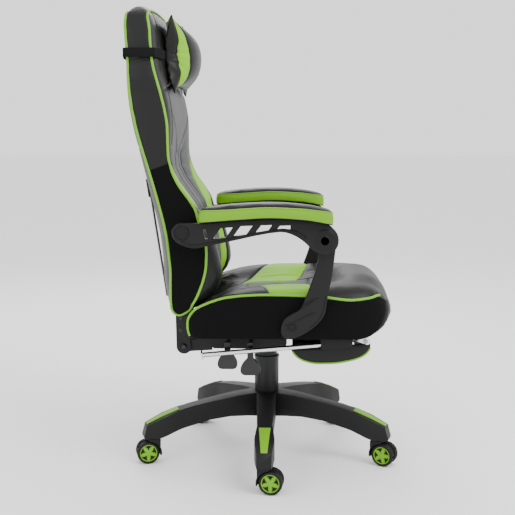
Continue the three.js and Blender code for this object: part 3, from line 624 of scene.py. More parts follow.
class CHAIR_OT_stage(bpy.types.Operator):
    """Floor, soft lights and camera"""
    bl_idname = "chair.stage"
    bl_label = "Stage"

    def execute(self, context):
        scene = context.scene
        form = bmesh.new()
        bmesh.ops.create_grid(form, x_segments=1, y_segments=1, size=30)
        floor = linked("floor", mesh_of(form, "floor"))
        graph = Graph("pale_floor")
        floor.data.materials.append(graph.finish(Base_Color=(0.93, 0.93, 0.93), Roughness=0.9))
        world = bpy.data.worlds.new("white_studio")
        world.use_nodes = True
        world.node_tree.nodes["Background"].inputs["Color"].default_value = (1, 1, 1, 1)
        world.node_tree.nodes["Background"].inputs["Strength"].default_value = 1.55
        scene.world = world
        for name, place, size, power in (
            ("key_light", (1.7, -1.5, 2.7), 1.6, 62),
            ("fill_light", (-1.9, -2.2, 1.9), 1.8, 18),
            ("rim_light", (-0.6, 2.4, 2.4), 1.8, 40),
        ):
            light = bpy.data.lights.new(name, "AREA")
            light.size = size
            light.energy = power
            lamp = linked(name, light)
            lamp.location = place
            lamp.rotation_euler = (Vector((0, 0, 0.6)) - Vector(place)).to_track_quat("-Z", "Y").to_euler()
        camera = linked("camera", bpy.data.cameras.new("camera"))
        camera.data.lens = 67.8
        camera.data.sensor_width = 36
        camera.location = (0.051, -2.610, 0.888)
        camera.rotation_euler = (math.pi / 2 - 0.1318, 0, 0.0293)
        scene.camera = camera
        return {"FINISHED"}


# ---------------------------------------------------------------- backrest

BACK = {"bottom": 421, "top": 1195, "half": 252}
BACK_FRONT = [
    (0, -208), (0.034, -178), (0.072, -165), (0.118, -152), (0.169, -143), (0.233, -141), (0.306, -156),
    (0.359, -166), (0.404, -192), (0.448, -214), (0.503, -228), (0.616, -232), (0.724, -250), (0.811, -267),
    (0.903, -272), (0.987, -282),
]
BACK_REAR = [
    (0, -226), (0.036, -239), (0.155, -238), (0.255, -245), (0.394, -270), (0.501, -294), (0.61, -318),
    (0.717, -332), (0.842, -337), (0.942, -342), (0.987, -334),
]
BACK_CREST = [
    (0, 0), (0.034, 15), (0.072, 44), (0.118, 50), (0.169, 38), (0.233, 24), (0.306, 6), (0.4, 2), (0.5, 2),
    (0.6, 7), (0.72, 14), (0.8, 12), (0.9, 10), (0.987, 4),
]
BACK_MIDDLE = [
    (0, 0), (0.034, 8), (0.072, 22), (0.118, 17), (0.169, 10), (0.233, 4), (0.306, -5), (0.4, -12), (0.48, -12),
    (0.56, 0), (0.65, 12), (0.8, 14), (0.9, 14), (0.987, 6),
]
BACK_CREST_AT = [(0, 0.75), (0.25, 0.78), (0.36, 0.92), (0.5, 0.95), (0.62, 0.8), (1, 0.75)]
BACK_REAR_CROWN = [(0, 4), (0.128, 32), (0.36, 34), (0.554, 26), (0.826, 16), (0.987, 6)]
BACK_INSET = [(0, 26), (0.05, 2), (0.18, 0), (0.826, 0), (0.929, 8), (0.97, 24), (0.987, 50)]


def back_share(z):
    return (z - BACK["bottom"]) / (BACK["top"] - BACK["bottom"])


def back_half(z):
    return BACK["half"] - through(BACK_INSET, back_share(z))


def dished(v, middle, crest, at=0.75):
    """Rise of a bucket shape over its edge, with bolsters at a share of the half width."""
    v = np.abs(v)
    climb = np.clip((v / at - 0.48) / 0.52, 0, 1)
    inner = mixed(middle, crest, climb * climb * (3 - 2 * climb))
    outer = crest * np.sqrt(np.clip(1 - np.clip((v - at) / (1 - at), 0, 1) ** 2, 0, 1))
    return np.where(v < at, inner, outer)


def back_front(v, z):
    share = back_share(z)
    rise = dished(v, through(BACK_MIDDLE, share), through(BACK_CREST, share), through(BACK_CREST_AT, share))
    return through(BACK_FRONT, share) + rise


def back_rear(v, z):
    share = back_share(z)
    return through(BACK_REAR, share) - through(BACK_REAR_CROWN, share) * (1 - np.abs(v) ** 3)


def back_point(v, z, u):
    """A point of the backrest's surface, u is -1 at the rear and 1 at the front, in metres."""
    x = mixed(back_rear(v, z), back_front(v, z), (u + 1) / 2)
    return np.stack([x * MM, v * back_half(z) * MM, np.broadcast_to(z, np.shape(x)) * MM], -1)


BACK_GREEN_INNER = [(455, 128), (560, 122), (640, 122), (700, 140), (760, 186), (812, 236), (850, 262)]
BACK_GREEN_OUTER = [(455, 150), (560, 158), (620, 166), (660, 186), (705, 226), (740, 262)]
BACK_CHANNELS = (40, 88)


def back_fields(points):
    """Distances of the backrest's panels and seams at its surface points."""
    x, y, z = points.T / MM
    side = np.abs(y)
    v = side / back_half(z)
    edge = back_half(z) - side
    front = x > mixed(back_rear(v, z), back_front(v, z), 0.5)
    over_cord = x - back_front(1, z) + 1.5
    ahead = np.where(edge < 14, over_cord, np.where(front, 20, -20))
    inner, outer = through(BACK_GREEN_INNER, z), through(BACK_GREEN_OUTER, z)
    green = np.min([side - inner, outer - side, z - 462, 838 - z, ahead], axis=0)
    wings = through([(455, 10), (838, 10), (880, 26), (985, 60)], z)
    grey = np.min([inner - side, z - 455, 985 - z, 210 - wings - side, ahead], axis=0)
    seams = [np.abs(side - c) + np.maximum(0, z - 830) + np.maximum(0, 470 - z) for c in BACK_CHANNELS]
    seams += [np.abs(green), np.abs(np.where(z < 850, outer + 400, 206 - (z - 850) * 0.16) - side)]
    seams += [np.abs(z - (838 + (side - 30) * 0.55)) + np.maximum(0, side - 200), np.abs(z - 1010 + side * 0.12)]
    seam = np.where(ahead > 0, np.min(seams, axis=0), 30)
    beside = (edge < 16) & (over_cord < 0) & (x > back_rear(1, z) + 1)
    cover = z - (787 + (x + 283) * 0.354)
    shoulder = z - (1046 + 15 * np.sin(np.clip((x + 331) / 50, 0, 1) * math.pi / 2))
    on_side = np.minimum(np.abs(cover), np.minimum(np.abs(shoulder), np.abs(shoulder + 7) + 1))
    seam = np.where(beside, on_side, seam)
    behind = ~front & ~beside
    seam = np.where(behind, np.minimum(np.abs(z - 860 + side * 0.1), np.abs(side - 176)), seam)
    fabric = np.where(edge < 16, np.min([-cover, -over_cord, x - back_rear(1, z) - 1], axis=0), -20)
    return {name: values * MM for name, values in
            (("green", green), ("grey", grey), ("seam", seam), ("fabric", fabric))}


class CHAIR_OT_backrest(bpy.types.Operator):
    """Backrest cushion, its welt cords and stitching"""
    bl_idname = "chair.backrest"
    bl_label = "Backrest"

    def execute(self, context):
        low, high = BACK["bottom"], BACK["top"] - 10

        def place(u, v, w):
            z = mixed(low + 1, high, ((np.sin(w * math.pi / 2) * 0.25 + w * 0.75) + 1) / 2)
            over = np.clip((w - 0.86) / 0.14, 0, 1)
            x = mixed(back_rear(v, z) + 3, back_front(v, z) - 6, (u + 1) / 2)
            tuck = 7 * np.exp(-((z - 1018) / 26) ** 2) * (1 - u * u)
            z = z + over * (9 * (1 - np.abs(v) ** 3) - 16 * np.abs(u) ** 3 * over)
            return x * MM, v * (back_half(z) - 4 + tuck) * MM, z * MM

        def pinned(x, y, z):
            fields = back_fields(np.stack([x, y, z], 1))
            outline = back_half(z / MM) * MM - np.abs(y)
            rim = np.minimum(np.abs(x - back_front(1, z / MM) * MM), np.abs(x - back_rear(1, z / MM) * MM))
            return np.maximum(near(fields["seam"], 7 * MM) * 0.95, near(np.hypot(rim, outline), 14 * MM))

        piece = stuffed("backrest_cover", rounded_block("backrest_cover", 26, place), sizes().voxel, 9 * MM, pinned)
        fields = back_fields(coordinates(piece.data))
        pulled_in(piece, fields["seam"], sizes().seam)
        with_fields(piece, fields)
        dressed(piece, "backrest", "upholstery", upholstery("back_leather", fields), replaces=("backrest_cushion",))
        surface = surface_of(piece)
        self.cords(surface)
        self.stitching(surface)
        return {"FINISHED"}

    def cords(self, surface):
        """Welt cords along the front and rear outline, joined round the foot of each side."""
        heights = np.linspace(447, 1166, 60)
        arch = np.linspace(-1, 1, 25)[1:-1]
        parts = []
        for u, top in ((1, 1178), (-1, 1170)):
            up = back_point(-1.0, heights, u)
            down = back_point(1.0, heights[::-1], u)
            over = back_point(arch * 0.97, np.full(len(arch), top) + 10 * (1 - arch ** 4), u)
            line = laid(surface, np.vstack([up, over, down]), 1.2 * MM)
            parts.append(cord_along("back_cord", line, sizes().piping))
        for side in (-1.0, 1.0):
            around = np.linspace(0, math.pi, 14)
            x = mixed(back_rear(side, 447), back_front(side, 447), (1 - np.cos(around)) / 2)
            z = 447 - 27 * np.sin(around) ** 0.8
            y = side * (back_half(z) - 1)
            line = laid(surface, np.stack([x, y, z], 1) * MM, 1.2 * MM)
            parts.append(cord_along("back_cord", line, sizes().piping))
        dressed(joined("backrest_piping", parts), "backrest", "green_trim")

    def stitching(self, surface):
        """Rows of stitches beside the front seams."""
        lines = []
        for side in (-1, 1):
            z = np.linspace(480, 820, 40)
            for edge in (*BACK_CHANNELS,):
                lines.append(back_point(side * (edge + 4) / back_half(z), z, 1))
            for table, shift in ((BACK_GREEN_INNER, -4), (BACK_GREEN_OUTER, 4)):
                high = np.linspace(470, 700, 30)
                lines.append(back_point(side * (through(table, high) + shift) / back_half(high), high, 1))
        piece = stitches("backrest_stitches", surface, lines)
        dressed(piece, "backrest", "upholstery", finish_of("thread"))


# ---------------------------------------------------------------- seat

SEAT = {"rear": -198, "front": 325, "half": 255, "bottom": 367}
SEAT_EDGE = [
    (0, 51), (0.04, 80), (0.105, 100), (0.243, 115), (0.44, 118), (0.68, 112), (0.876, 101), (0.971, 80), (1, 63),
]
SEAT_CREST = [
    (0, -6), (0.105, -8), (0.2, 5), (0.3, 12), (0.436, 16), (0.6, 20), (0.73, 27), (0.85, 32), (0.95, 27), (1, 14),
]
SEAT_MIDDLE = [
    (0, -12), (0.105, -34), (0.2, -20), (0.3, -14), (0.436, -14), (0.6, 0), (0.73, 22), (0.8, 42), (0.9, 46),
    (1, 24),
]
SEAT_FLOOR = [(0, 25), (0.019, 4), (0.042, 0), (0.828, 0), (0.908, 13), (0.954, 30), (1, 57)]
SEAT_INSET = [(0, 20), (0.063, 0), (0.761, 0), (0.895, 14), (0.962, 45), (1, 90)]
GREEN_REAR = [(44, -80), (120, -42), (190, -6), (262, 16)]
GREEN_FRONT = [(44, 76), (120, 97), (190, 113), (262, 103)]
CROSS_SEAMS = (-57, 30, 115)
CHANNEL_HALF = 46


def seat_share(x):
    return (x - SEAT["rear"]) / (SEAT["front"] - SEAT["rear"])


def seat_half(x):
    return SEAT["half"] - through(SEAT_INSET, seat_share(x))


def seat_top(v, x):
    share = seat_share(x)
    rise = dished(v, through(SEAT_MIDDLE, share), through(SEAT_CREST, share))
    return SEAT["bottom"] + through(SEAT_EDGE, share) + rise


def seat_floor(x):
    return SEAT["bottom"] + through(SEAT_FLOOR, seat_share(x))


def seat_point(v, x, w=1.0):
    """A point of the seat's top at w 1 or its floor at w -1, in metres."""
    z = mixed(seat_floor(x), seat_top(v, x), (w + 1) / 2)
    return np.stack([np.broadcast_to(x, np.shape(z)) * MM, v * seat_half(x) * MM, z * MM], -1)


SEAT_CORD = [
    (-198, 418), (-178, 447), (-165, 459), (-143, 467), (-123, 475), (-71, 482), (-19, 485), (84, 483), (157, 478),
    (185, 473), (214, 471), (248, 475), (273, 481), (296, 488), (325, 488),
]
SEAT_NOSE = [(372, 262), (385, 280), (400, 292), (420, 302), (440, 307), (470, 306), (488, 298)]


def front_seam(side):
    """Where the plain front of the seat begins."""
    return 152 - 26 * (side / 255) ** 2


def seat_fields(points):
    """Distances of the seat's panels and seams at its surface points."""
    x, y, z = points.T / MM
    side = np.abs(y)
    edge = seat_half(x) - side
    over_cord = z - through(SEAT_CORD, x)
    under = z < SEAT["bottom"] + 4
    above = np.where(edge < 18, over_cord, np.where(z > SEAT["bottom"] + 45, 20, -20))
    green = np.minimum(np.minimum(x - through(GREEN_REAR, side), through(GREEN_FRONT, side) - x) * 0.85,
                       np.minimum(side - CHANNEL_HALF, above))
    grey = np.min([CHANNEL_HALF - side, front_seam(side) - x, x + 150, above], axis=0)
    seams = [np.abs(side - CHANNEL_HALF) + np.maximum(0, x - front_seam(side)), np.abs(x - front_seam(side))]
    seams += [np.abs(x - c) + np.maximum(0, side - CHANNEL_HALF) for c in CROSS_SEAMS]
    seams += [np.abs(green), np.abs(side - 196 + (x + 40) * 0.05) + np.maximum(0, x - through(GREEN_REAR, side))]
    seam = np.where(above > 0, np.min(seams, axis=0), 30)
    nose = through(SEAT_NOSE, z) - x
    flank = (edge < 18) & (over_cord < 0)
    seam = np.where(flank & ~under, np.abs(nose), seam)
    fabric = np.where(under, 8, np.where(edge < 18, np.minimum(nose, -over_cord), -20))
    return {name: values * MM for name, values in
            (("green", green), ("grey", grey), ("seam", seam), ("fabric", fabric))}


class CHAIR_OT_seat(bpy.types.Operator):
    """Seat cushion, its welt cords and stitching"""
    bl_idname = "chair.seat"
    bl_label = "Seat"

    def execute(self, context):
        def place(u, v, w):
            x = mixed(SEAT["rear"] + 3, SEAT["front"] - 3, (np.sin(u * math.pi / 2) * 0.5 + u * 0.5 + 1) / 2)
            top = seat_top(v, x) - 3
            floor = np.minimum(seat_floor(x) + 1, top - 6)
            return x * MM, v * (seat_half(x) - 4) * MM, mixed(floor, top, (w + 1) / 2) * MM

        def pinned(x, y, z):
            fields = seat_fields(np.stack([x, y, z], 1))
            outline = seat_half(x / MM) * MM - np.abs(y)
            rim = np.abs(z - through(SEAT_CORD, x / MM) * MM)
            under = near(np.abs(z - (SEAT["bottom"] + 1) * MM), 3 * MM)
            seams = near(fields["seam"], 7 * MM) * 0.95
            return np.max([seams, near(np.hypot(rim, outline), 14 * MM), under], axis=0)

        piece = stuffed("seat_cover", rounded_block("seat_cover", 26, place), sizes().voxel, 8 * MM, pinned)
        rear_clear = coordinates(piece.data)
        back = (back_front(rear_clear[:, 1] / MM / back_half(np.clip(rear_clear[:, 2] / MM, 421, 560)),
                           np.clip(rear_clear[:, 2] / MM, 421, 560)) + 1) * MM
        behind = (rear_clear[:, 2] > 425 * MM) & (rear_clear[:, 0] < back)
        rear_clear[:, 0] = np.where(behind, back, rear_clear[:, 0])
        set_coordinates(piece.data, rear_clear)
        fields = seat_fields(rear_clear)
        pulled_in(piece, fields["seam"], sizes().seam)
        with_fields(piece, fields)
        dressed(piece, "seat", "upholstery", upholstery("seat_leather", fields), replaces=("seat_cushion",))
        surface = surface_of(piece)
        parts = []
        for side in (-1.0, 1.0):
            rise = np.linspace(374, 414, 6)
            rear = np.stack([np.interp(rise, [371, 381, 399, 424], [-186, -193, -198, -198]),
                             np.full(6, side * (seat_half(-197) - 1)), rise], 1) * MM
            x = np.linspace(SEAT["rear"] + 2, 298, 70)
            edge = np.stack([x, side * seat_half(x), through(SEAT_CORD, x)], 1) * MM
            parts.append(cord_along("seat_cord", laid(surface, np.vstack([rear, edge]), 1.2 * MM), sizes().piping))
        dressed(joined("seat_piping", parts), "seat", "green_trim")
        self.stitching(surface)
        return {"FINISHED"}

    def stitching(self, surface):
        lines = []
        for side in (-1, 1):
            x = np.linspace(-140, 140, 40)
            lines.append(seat_point(side * (CHANNEL_HALF + 4) / seat_half(x), x))
            across = np.linspace(CHANNEL_HALF + 6, 236, 30)
            for table, shift in ((GREEN_REAR, -4), (GREEN_FRONT, 4)):
                at = through(table, across) + shift
                lines.append(seat_point(side * across / seat_half(at), at))
            at = front_seam(across) + 4
            lines.append(seat_point(side * across / seat_half(at), at))
        dressed(stitches("seat_stitches", surface, lines), "seat", "upholstery", finish_of("thread"))


# ---------------------------------------------------------------- head pillow

PILLOW = {"centre": 1078, "height": 182, "half": 145}


class CHAIR_OT_pillow(bpy.types.Operator):
    """Head pillow with its green bands, gathered by the strap"""
    bl_idname = "chair.pillow"
    bl_label = "Head pillow"

    def execute(self, context):
        def place(u, v, w):
            level = w + 0.09
            pinch = np.exp(-(level / 0.42) ** 2) * np.clip((np.abs(v) - 0.55) / 0.45, 0, 1) ** 1.5
            y = v * PILLOW["half"] * (1 - 0.05 * w * w - 0.09 * pinch)
            z = PILLOW["centre"] + w * PILLOW["height"] / 2 * (1 - 0.10 * (1 - v * v) * w * w)
            ears = np.abs(v) ** 6 * np.abs(w) ** 4
            z = z + np.where(w > 0, 5, -13) * ears
            ear = 34 * np.clip((w - 0.15) / 0.85, 0, 1) ** 1.5 * np.abs(v) ** 2
            rear = back_front(y / BACK["half"], z) + 2 + ear
            across = (1 - np.abs(v) ** 2.8) * (1 - np.abs(w) ** 2.2)
            puff = 5 + 72 * across ** 0.75 - 3 * pinch
            folds = np.cos(np.arctan2(level * 0.9, 1.12 - np.abs(v)) * 13)
            ridge = folds * 5.0 * np.exp(-((1.02 - np.abs(v)) / 0.26) ** 2) * np.exp(-(level / 0.6) ** 2)
            x = mixed(rear, rear + puff + ridge, (u + 1) / 2)
            return x * MM, y * MM, z * MM

        def pinned(x, y, z):
            ends = near(PILLOW["half"] * MM - np.abs(y), 16 * MM)
            rear = near(np.abs(x - (back_front(y / MM / BACK["half"], z / MM) + 2) * MM), 8 * MM)
            return np.maximum(ends * 0.8, rear)

        piece = stuffed("pillow_cover", rounded_block("pillow_cover", 34, place), 4.5 * MM, 8 * MM, pinned, tight=3)
        points = coordinates(piece.data)
        x, y, z = points.T / MM
        side = np.abs(y)
        level = (z - PILLOW["centre"]) / (PILLOW["height"] / 2)
        inner = 96 + 12 * level
        green = np.min([side - inner, inner + 27 - 8 * level - side, (level + 0.93) * 90], axis=0)
        seam = np.abs(green)
        fields = {"green": green * MM, "seam": seam * MM}
        pulled_in(piece, fields["seam"], 1.4 * MM)
        with_fields(piece, fields)
        dressed(piece, "backrest", "upholstery", upholstery("pillow_leather", fields), replaces=("head_pillow",))
        return {"FINISHED"}


# ---------------------------------------------------------------- straps

class CHAIR_OT_straps(bpy.types.Operator):
    """Elastic of the pillow, and the lumbar strap with its buckle"""
    bl_idname = "chair.straps"
    bl_label = "Straps"

    def execute(self, context):
        refined("pillow_strap", 0.5 * MM, 1, finish="elastic")
        low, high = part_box("lumbar_strap")
        top, bottom = Vector((low.x, 0, high.z)), Vector((high.x, 0, low.z))
        half = high.y
        along = bottom - top
        out = Vector((along.z, 0, -along.x)).normalized()
        out = out if out.x < 0 else -out

        def strip(name, start, stop, width, thick, lift, finish, crown=0.0):
            """A flat strip along the strap, from start to stop as shares of its length."""
            form = bmesh.new()
            bmesh.ops.create_cube(form, size=1)
            bmesh.ops.subdivide_edges(form, edges=form.edges, cuts=5, use_grid_fill=True)
            for vertex in form.verts:
                a, b, c = vertex.co
                share = mixed(start, stop, a + 0.5)
                vertex.co = (top + along * share + out * (lift + c * thick + crown * (0.25 - b * b))
                             + Vector((0, b * width, 0)))
            bmesh.ops.recalc_face_normals(form, faces=form.faces)
            edges = [e for e in form.edges if e.calc_face_angle(0) > 1]
            bmesh.ops.bevel(form, geom=edges, offset=min(thick, width) * 0.3, affect="EDGES", segments=2,
                            profile=0.5, material=-1)
            data = mesh_of(form, name)
            sharpen(data)
            piece = linked(name, data)
            return piece

        band = strip("lumbar_elastic", 0.0, 1.0, 2 * half, 1.8 * MM, 0, "pale_elastic")
        dressed(band, "backrest", "webbing", finish_of("pale_elastic"), replaces=("lumbar_strap",))
        hems = [strip("hem", 0.08, 1.0, 1.4 * MM, 1.2 * MM, 1.1 * MM, "elastic") for _ in range(2)]
        for hem, side in zip(hems, (-1, 1)):
            hem.data.transform(Matrix.Translation((0, side * (half - 4 * MM), 0)))
        dressed(joined("lumbar_elastic_hems", hems), "backrest", "webbing", finish_of("elastic"))
        tab = strip("lumbar_strap_tab", -0.02, 0.13, 2 * half + 4 * MM, 3 * MM, 1 * MM, "elastic", 2 * MM)
        dressed(tab, "backrest", "webbing", finish_of("elastic"))
        frame_parts = [
            strip("bar", 0.175, 0.195, 2 * half + 12 * MM, 5 * MM, 2 * MM, "gloss"),
            strip("bar", 0.225, 0.245, 2 * half + 12 * MM, 5 * MM, 2 * MM, "gloss"),
            strip("bar", 0.28, 0.30, 2 * half + 12 * MM, 5 * MM, 2 * MM, "gloss"),
        ]
        rails = [strip("rail", 0.175, 0.30, 5 * MM, 5 * MM, 2 * MM, "gloss") for _ in range(2)]
        for rail, side in zip(rails, (-1, 1)):
            rail.data.transform(Matrix.Translation((0, side * (half + 4 * MM), 0)))
        dressed(joined("lumbar_buckle", frame_parts + rails), "backrest", "gloss_plastic", finish_of("gloss"))
        return {"FINISHED"}


# ---------------------------------------------------------------- armrests

PAD = {"rear": -159, "front": 166, "width": 78, "height": 38}
PAD_FLOOR = [(-159, 664), (-74, 671), (16, 676), (92, 672), (166, 660)]


ARM_OUTLINE = [
    (-200, 663), (-212, 660), (-221, 650), (-223, 638), (-218, 625), (-207, 615), (-195, 609), (-180, 604),
    (-162, 603), (-139, 608), (-105, 616), (-66, 624), (-28, 633), (10, 640), (37, 643), (58, 640), (80, 630),
    (98, 617), (112, 603), (128, 593), (145, 589), (162, 594), (174, 606), (178, 622), (175, 638), (166, 650),
    (152, 661), (120, 668), (92, 671), (54, 674), (16, 675), (-28, 673), (-74, 670), (-120, 666), (-160, 663),
]
ARM_WINDOWS = [
    [(-149, 650), (-141, 650), (-136, 626), (-144, 626)], [(-126, 625), (-93, 629), (-76, 654), (-105, 652)],
    [(-75, 632), (-44, 636), (-28, 658), (-57, 657)], [(-22, 641), (8, 644), (19, 660), (-8, 659)],
    [(29, 648), (62, 649), (62, 659), (37, 658)],
]
POST_OUTLINE = [
    (146, 648), (133, 645), (124, 637), (120, 622), (126, 600), (130, 580), (125, 553), (116, 523), (103, 487),
    (92, 460), (82, 447), (64, 437), (50, 427), (42, 412), (40, 396), (45, 382), (58, 376), (82, 382),
    (110, 398), (135, 420), (147, 440), (151, 460), (154, 483), (162, 523), (168, 565), (172, 600), (172, 622),
    (168, 636), (159, 645),
]


def rounded(points, steps=5):
    """A closed smooth curve through the points."""
    p = np.array(points, float)
    before, after, beyond = np.roll(p, 1, 0), np.roll(p, -1, 0), np.roll(p, -2, 0)
    t = np.arange(steps)[None, :, None] / steps
    p, before, after, beyond = (q[:, None, :] for q in (p, before, after, beyond))
    curve = 2 * p + (after - before) * t + (2 * before - 5 * p + 4 * after - beyond) * t ** 2
    curve = curve + (3 * p - before - 3 * after + beyond) * t ** 3
    return (curve / 2).reshape(-1, 2)


def ring_of(x, z, radius, steps=32):
    around = np.arange(steps) * 2 * math.pi / steps
    return np.stack([x + radius * np.cos(around), z + radius * np.sin(around)], 1)


def plate(name, outlines, inner, outer, edge):
    """A flat part of the given outlines in X and Z, its edges rounded, between two distances from the middle."""
    curve = bpy.data.curves.new(name, "CURVE")
    curve.dimensions = "2D"
    curve.fill_mode = "BOTH"
    curve.extrude = (abs(outer - inner) / 2 - edge) * MM
    curve.bevel_depth = edge * MM
    curve.bevel_resolution = 3
    curve.offset = -edge * MM
    for outline in outlines:
        spline = curve.splines.new("POLY")
        spline.points.add(len(outline) - 1)
        flat = np.c_[np.array(outline) * MM, np.zeros(len(outline)), np.ones(len(outline))]
        spline.points.foreach_set("co", flat.ravel())
        spline.use_cyclic_u = True
    piece = linked(name, curve)
    graph = bpy.context.evaluated_depsgraph_get()
    data = bpy.data.meshes.new_from_object(piece.evaluated_get(graph))
    bpy.data.objects.remove(piece)
    data.materials.clear()
    data.transform(Matrix.Translation((0, (inner + outer) / 2 * MM, 0)) @ Matrix.Rotation(math.pi / 2, 4, "X"))
    form = bmesh.new()
    form.from_mesh(data)
    bmesh.ops.remove_doubles(form, verts=form.verts, dist=0.01 * MM)
    bmesh.ops.recalc_face_normals(form, faces=form.faces)
    made = mesh_of(form, name)
    sharpen(made, 32)
    return linked(name, made)


class CHAIR_OT_armrests(bpy.types.Operator):
    """Armrest pads, frames and posts"""
    bl_idname = "chair.armrests"
    bl_label = "Armrests"

    def execute(self, context):
        for side_name, side in SIDES:
            self.pad(side_name, side)
            self.frame(side_name, side)
            self.post(side_name, side)
        return {"FINISHED"}

    def pad(self, side_name, side):
        low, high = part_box("armrest_pad_" + side_name)
        middle = (low.y + high.y) / 2 / MM

        def floor(x):
            return through(PAD_FLOOR, x) + 0.6

        def place(u, v, w):
            x = mixed(PAD["rear"] + 2, PAD["front"] - 2, (np.sin(u * math.pi / 2) * 0.6 + u * 0.4 + 1) / 2)
            end = 1 - 0.34 * np.abs(u) ** 9
            y = middle + v * (PAD["width"] / 2 - 2.5) * end
            height = PAD["height"] * (1 - 0.26 * np.abs(u) ** 12) - 1.5
            top = floor(x) + height - 7 * np.abs(v) ** 4
            return x * MM, y * MM, mixed(floor(x), top, (w + 1) / 2) * MM

        def heights(x, y):
            edge = np.abs(y - middle) / (PAD["width"] / 2)
            return floor(x), edge

        def pinned(x, y, z):
            under, _ = heights(x / MM, y / MM)
            return near(np.abs(z / MM - under), 4)

        piece = stuffed(f"armrest_pad_cover_{side_name}", rounded_block("pad", 24, place), 4.5 * MM, 4 * MM,
                        pinned, tight=0.8)
        points = coordinates(piece.data)
        x, y, z = points.T / MM
        under, edge = heights(x, y)
        up = z - under
        green = np.minimum(up - 3, 29.5 - up)
        fields = {"green": green * MM, "seam": np.abs(up - 29.5) * MM}
        with_fields(piece, fields)
        # The pad's green band runs round its sides and is darkened to 0.7 as painted shade, for faces turned away
        # from the top light.
        material = upholstery("pad_leather_painted_shade_" + side_name, fields, painted_shade_factor=0.7)
        dressed(piece, "armrest_" + side_name, "upholstery", material, replaces=("armrest_pad_" + side_name,))
        surface = surface_of(piece)
        around = np.linspace(-math.pi, math.pi, 121)[:-1]
        across = np.sign(np.sin(around)) * np.abs(np.sin(around)) ** 0.28
        forward = np.sign(np.cos(around)) * np.abs(np.cos(around)) ** 0.28
        x = mixed(PAD["rear"], PAD["front"], (forward * 0.99 + 1) / 2)
        y = middle + across * PAD["width"] / 2 * (1 - 0.3 * np.abs(forward) ** 8)
        ring = laid(surface, np.stack([x, y, floor(x) + 29.5], 1) * MM, 0.3 * MM, 5 * MM)
        cord = cord_along(f"armrest_pad_cord_{side_name}", ring, 1.5 * MM, closed=True)
        dressed(cord, "armrest_" + side_name, "green_trim")

    def frame(self, side_name, side):
        """The moulded arm with a raised rim, hub rings and screws."""
        body = "armrest_" + side_name
        holes = [rounded(window, 1) for window in ARM_WINDOWS] + [ring_of(-200, 640, 8.6)]
        piece = plate("armrest_arm_" + side_name, [rounded(ARM_OUTLINE), *holes], side * 278.8, side * 302.4, 2.2)
        dressed(piece, body, "nylon", finish_of("nylon"), replaces=("armrest_frame_" + side_name,))
        low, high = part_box("armrest_frame_" + side_name)
        outer = low.y if side < 0 else high.y
        rear = JOINTS["armrest_hinge_" + side_name]["pos_m"]
        front = (0.145, 0.622)
        parts = [
            turned_ring(rear[0], rear[2], outer, side, [(15, 0), (15.5, 1.8), (18.5, 1.8), (19.5, 0)]),
            turned_ring(rear[0], rear[2], outer, side, [(0, 0.4), (6.5, 0.2), (8, -1.5), (14, -1.5), (15.2, 0)]),
            turned_ring(front[0], front[1], outer, side, [(0, 2.4), (20, 2.0), (27, 0.8), (29, -0.5)]),
        ]
        outline = [(-207, 659), (-218, 650), (-220, 636), (-212, 622), (-196, 613), (-179, 607), (-162, 607),
                   (-139, 612), (-104, 619), (-66, 627), (-27, 636), (10, 643), (44, 647), (72, 643), (98, 628)]
        for inset, radius in ((0, 3.0), (3, 2.4)):
            rim = np.array([(x + inset * 0.3, outer / MM - side * 0.8, z + inset) for x, z in outline], float) * MM
            parts.append(cord_along("rim", evenly(rim, 5 * MM), radius * MM, finish="nylon"))
        trim = joined("armrest_trims_" + side_name, [linked_ring(p) for p in parts])
        trim.data.materials.clear()
        dressed(trim, body, "nylon", finish_of("nylon_dark"))
        return piece

    def post(self, side_name, side):
        """The moulded post with its ribs and the cap of its bolt."""
        body = "post_" + side_name
        piece = plate("armrest_leg_" + side_name, [rounded(POST_OUTLINE), ring_of(67, 407, 6.2)],
                      side * 262, side * 278, 3.2)
        dressed(piece, body, "nylon", finish_of("nylon"), replaces=("armrest_post_" + side_name,))
        refined("post_bolt_" + side_name, 0.8 * MM, 1, finish="dark_steel")
        foot = JOINTS["post_hinge_" + side_name]["pos_m"]
        post_outer = side * 278 * MM
        parts = [
            turned_ring(foot[0], foot[2], post_outer, side, [(9, -0.4), (9.4, 0.9), (11.5, 0.9), (12.5, -0.4)]),
            turned_ring(foot[0], foot[2], post_outer, side, [(0, 0.2), (6.2, 0.2), (7, -0.4)]),
        ]
        ribs = [
            [(51, 411), (71, 418), (97, 432), (123, 444)], [(90, 453), (110, 467), (132, 480)],
            [(95, 464), (112, 472), (125, 479)], [(112, 404), (132, 422), (143, 442), (147, 462), (150, 485)],
        ]
        for rib in ribs:
            line = np.array([(x, post_outer / MM, z) for x, z in rib], float) * MM
            parts.append(cord_along("rib", evenly(line, 4 * MM), 1.7 * MM, finish="nylon"))
        trim = joined("post_trims_" + side_name, [linked_ring(p) for p in parts])
        trim.data.materials.clear()
        dressed(trim, body, "nylon", finish_of("nylon_dark"))


def turned_ring(x, z, y, side, profile, steps=40):
    """A profile of (radius, height) in millimetres turned about Y, standing out of a side face."""
    form = bmesh.new()
    points = [form.verts.new((r * MM, side * h * MM, 0)) for r, h in profile]
    edges = [form.edges.new(pair) for pair in zip(points[:-1], points[1:])]
    if max(profile[0][0], profile[-1][0]) > 0:
        edges.append(form.edges.new((points[-1], points[0])))
    bmesh.ops.spin(form, geom=points + edges, cent=(0, 0, 0), axis=(0, 1, 0), dvec=(0, 0, 0),
                   angle=2 * math.pi, steps=steps, use_merge=True, use_duplicate=False)
    bmesh.ops.remove_doubles(form, verts=form.verts, dist=1e-6)
    bmesh.ops.recalc_face_normals(form, faces=form.faces)
    bmesh.ops.translate(form, verts=form.verts, vec=(x, y, z))
    return form


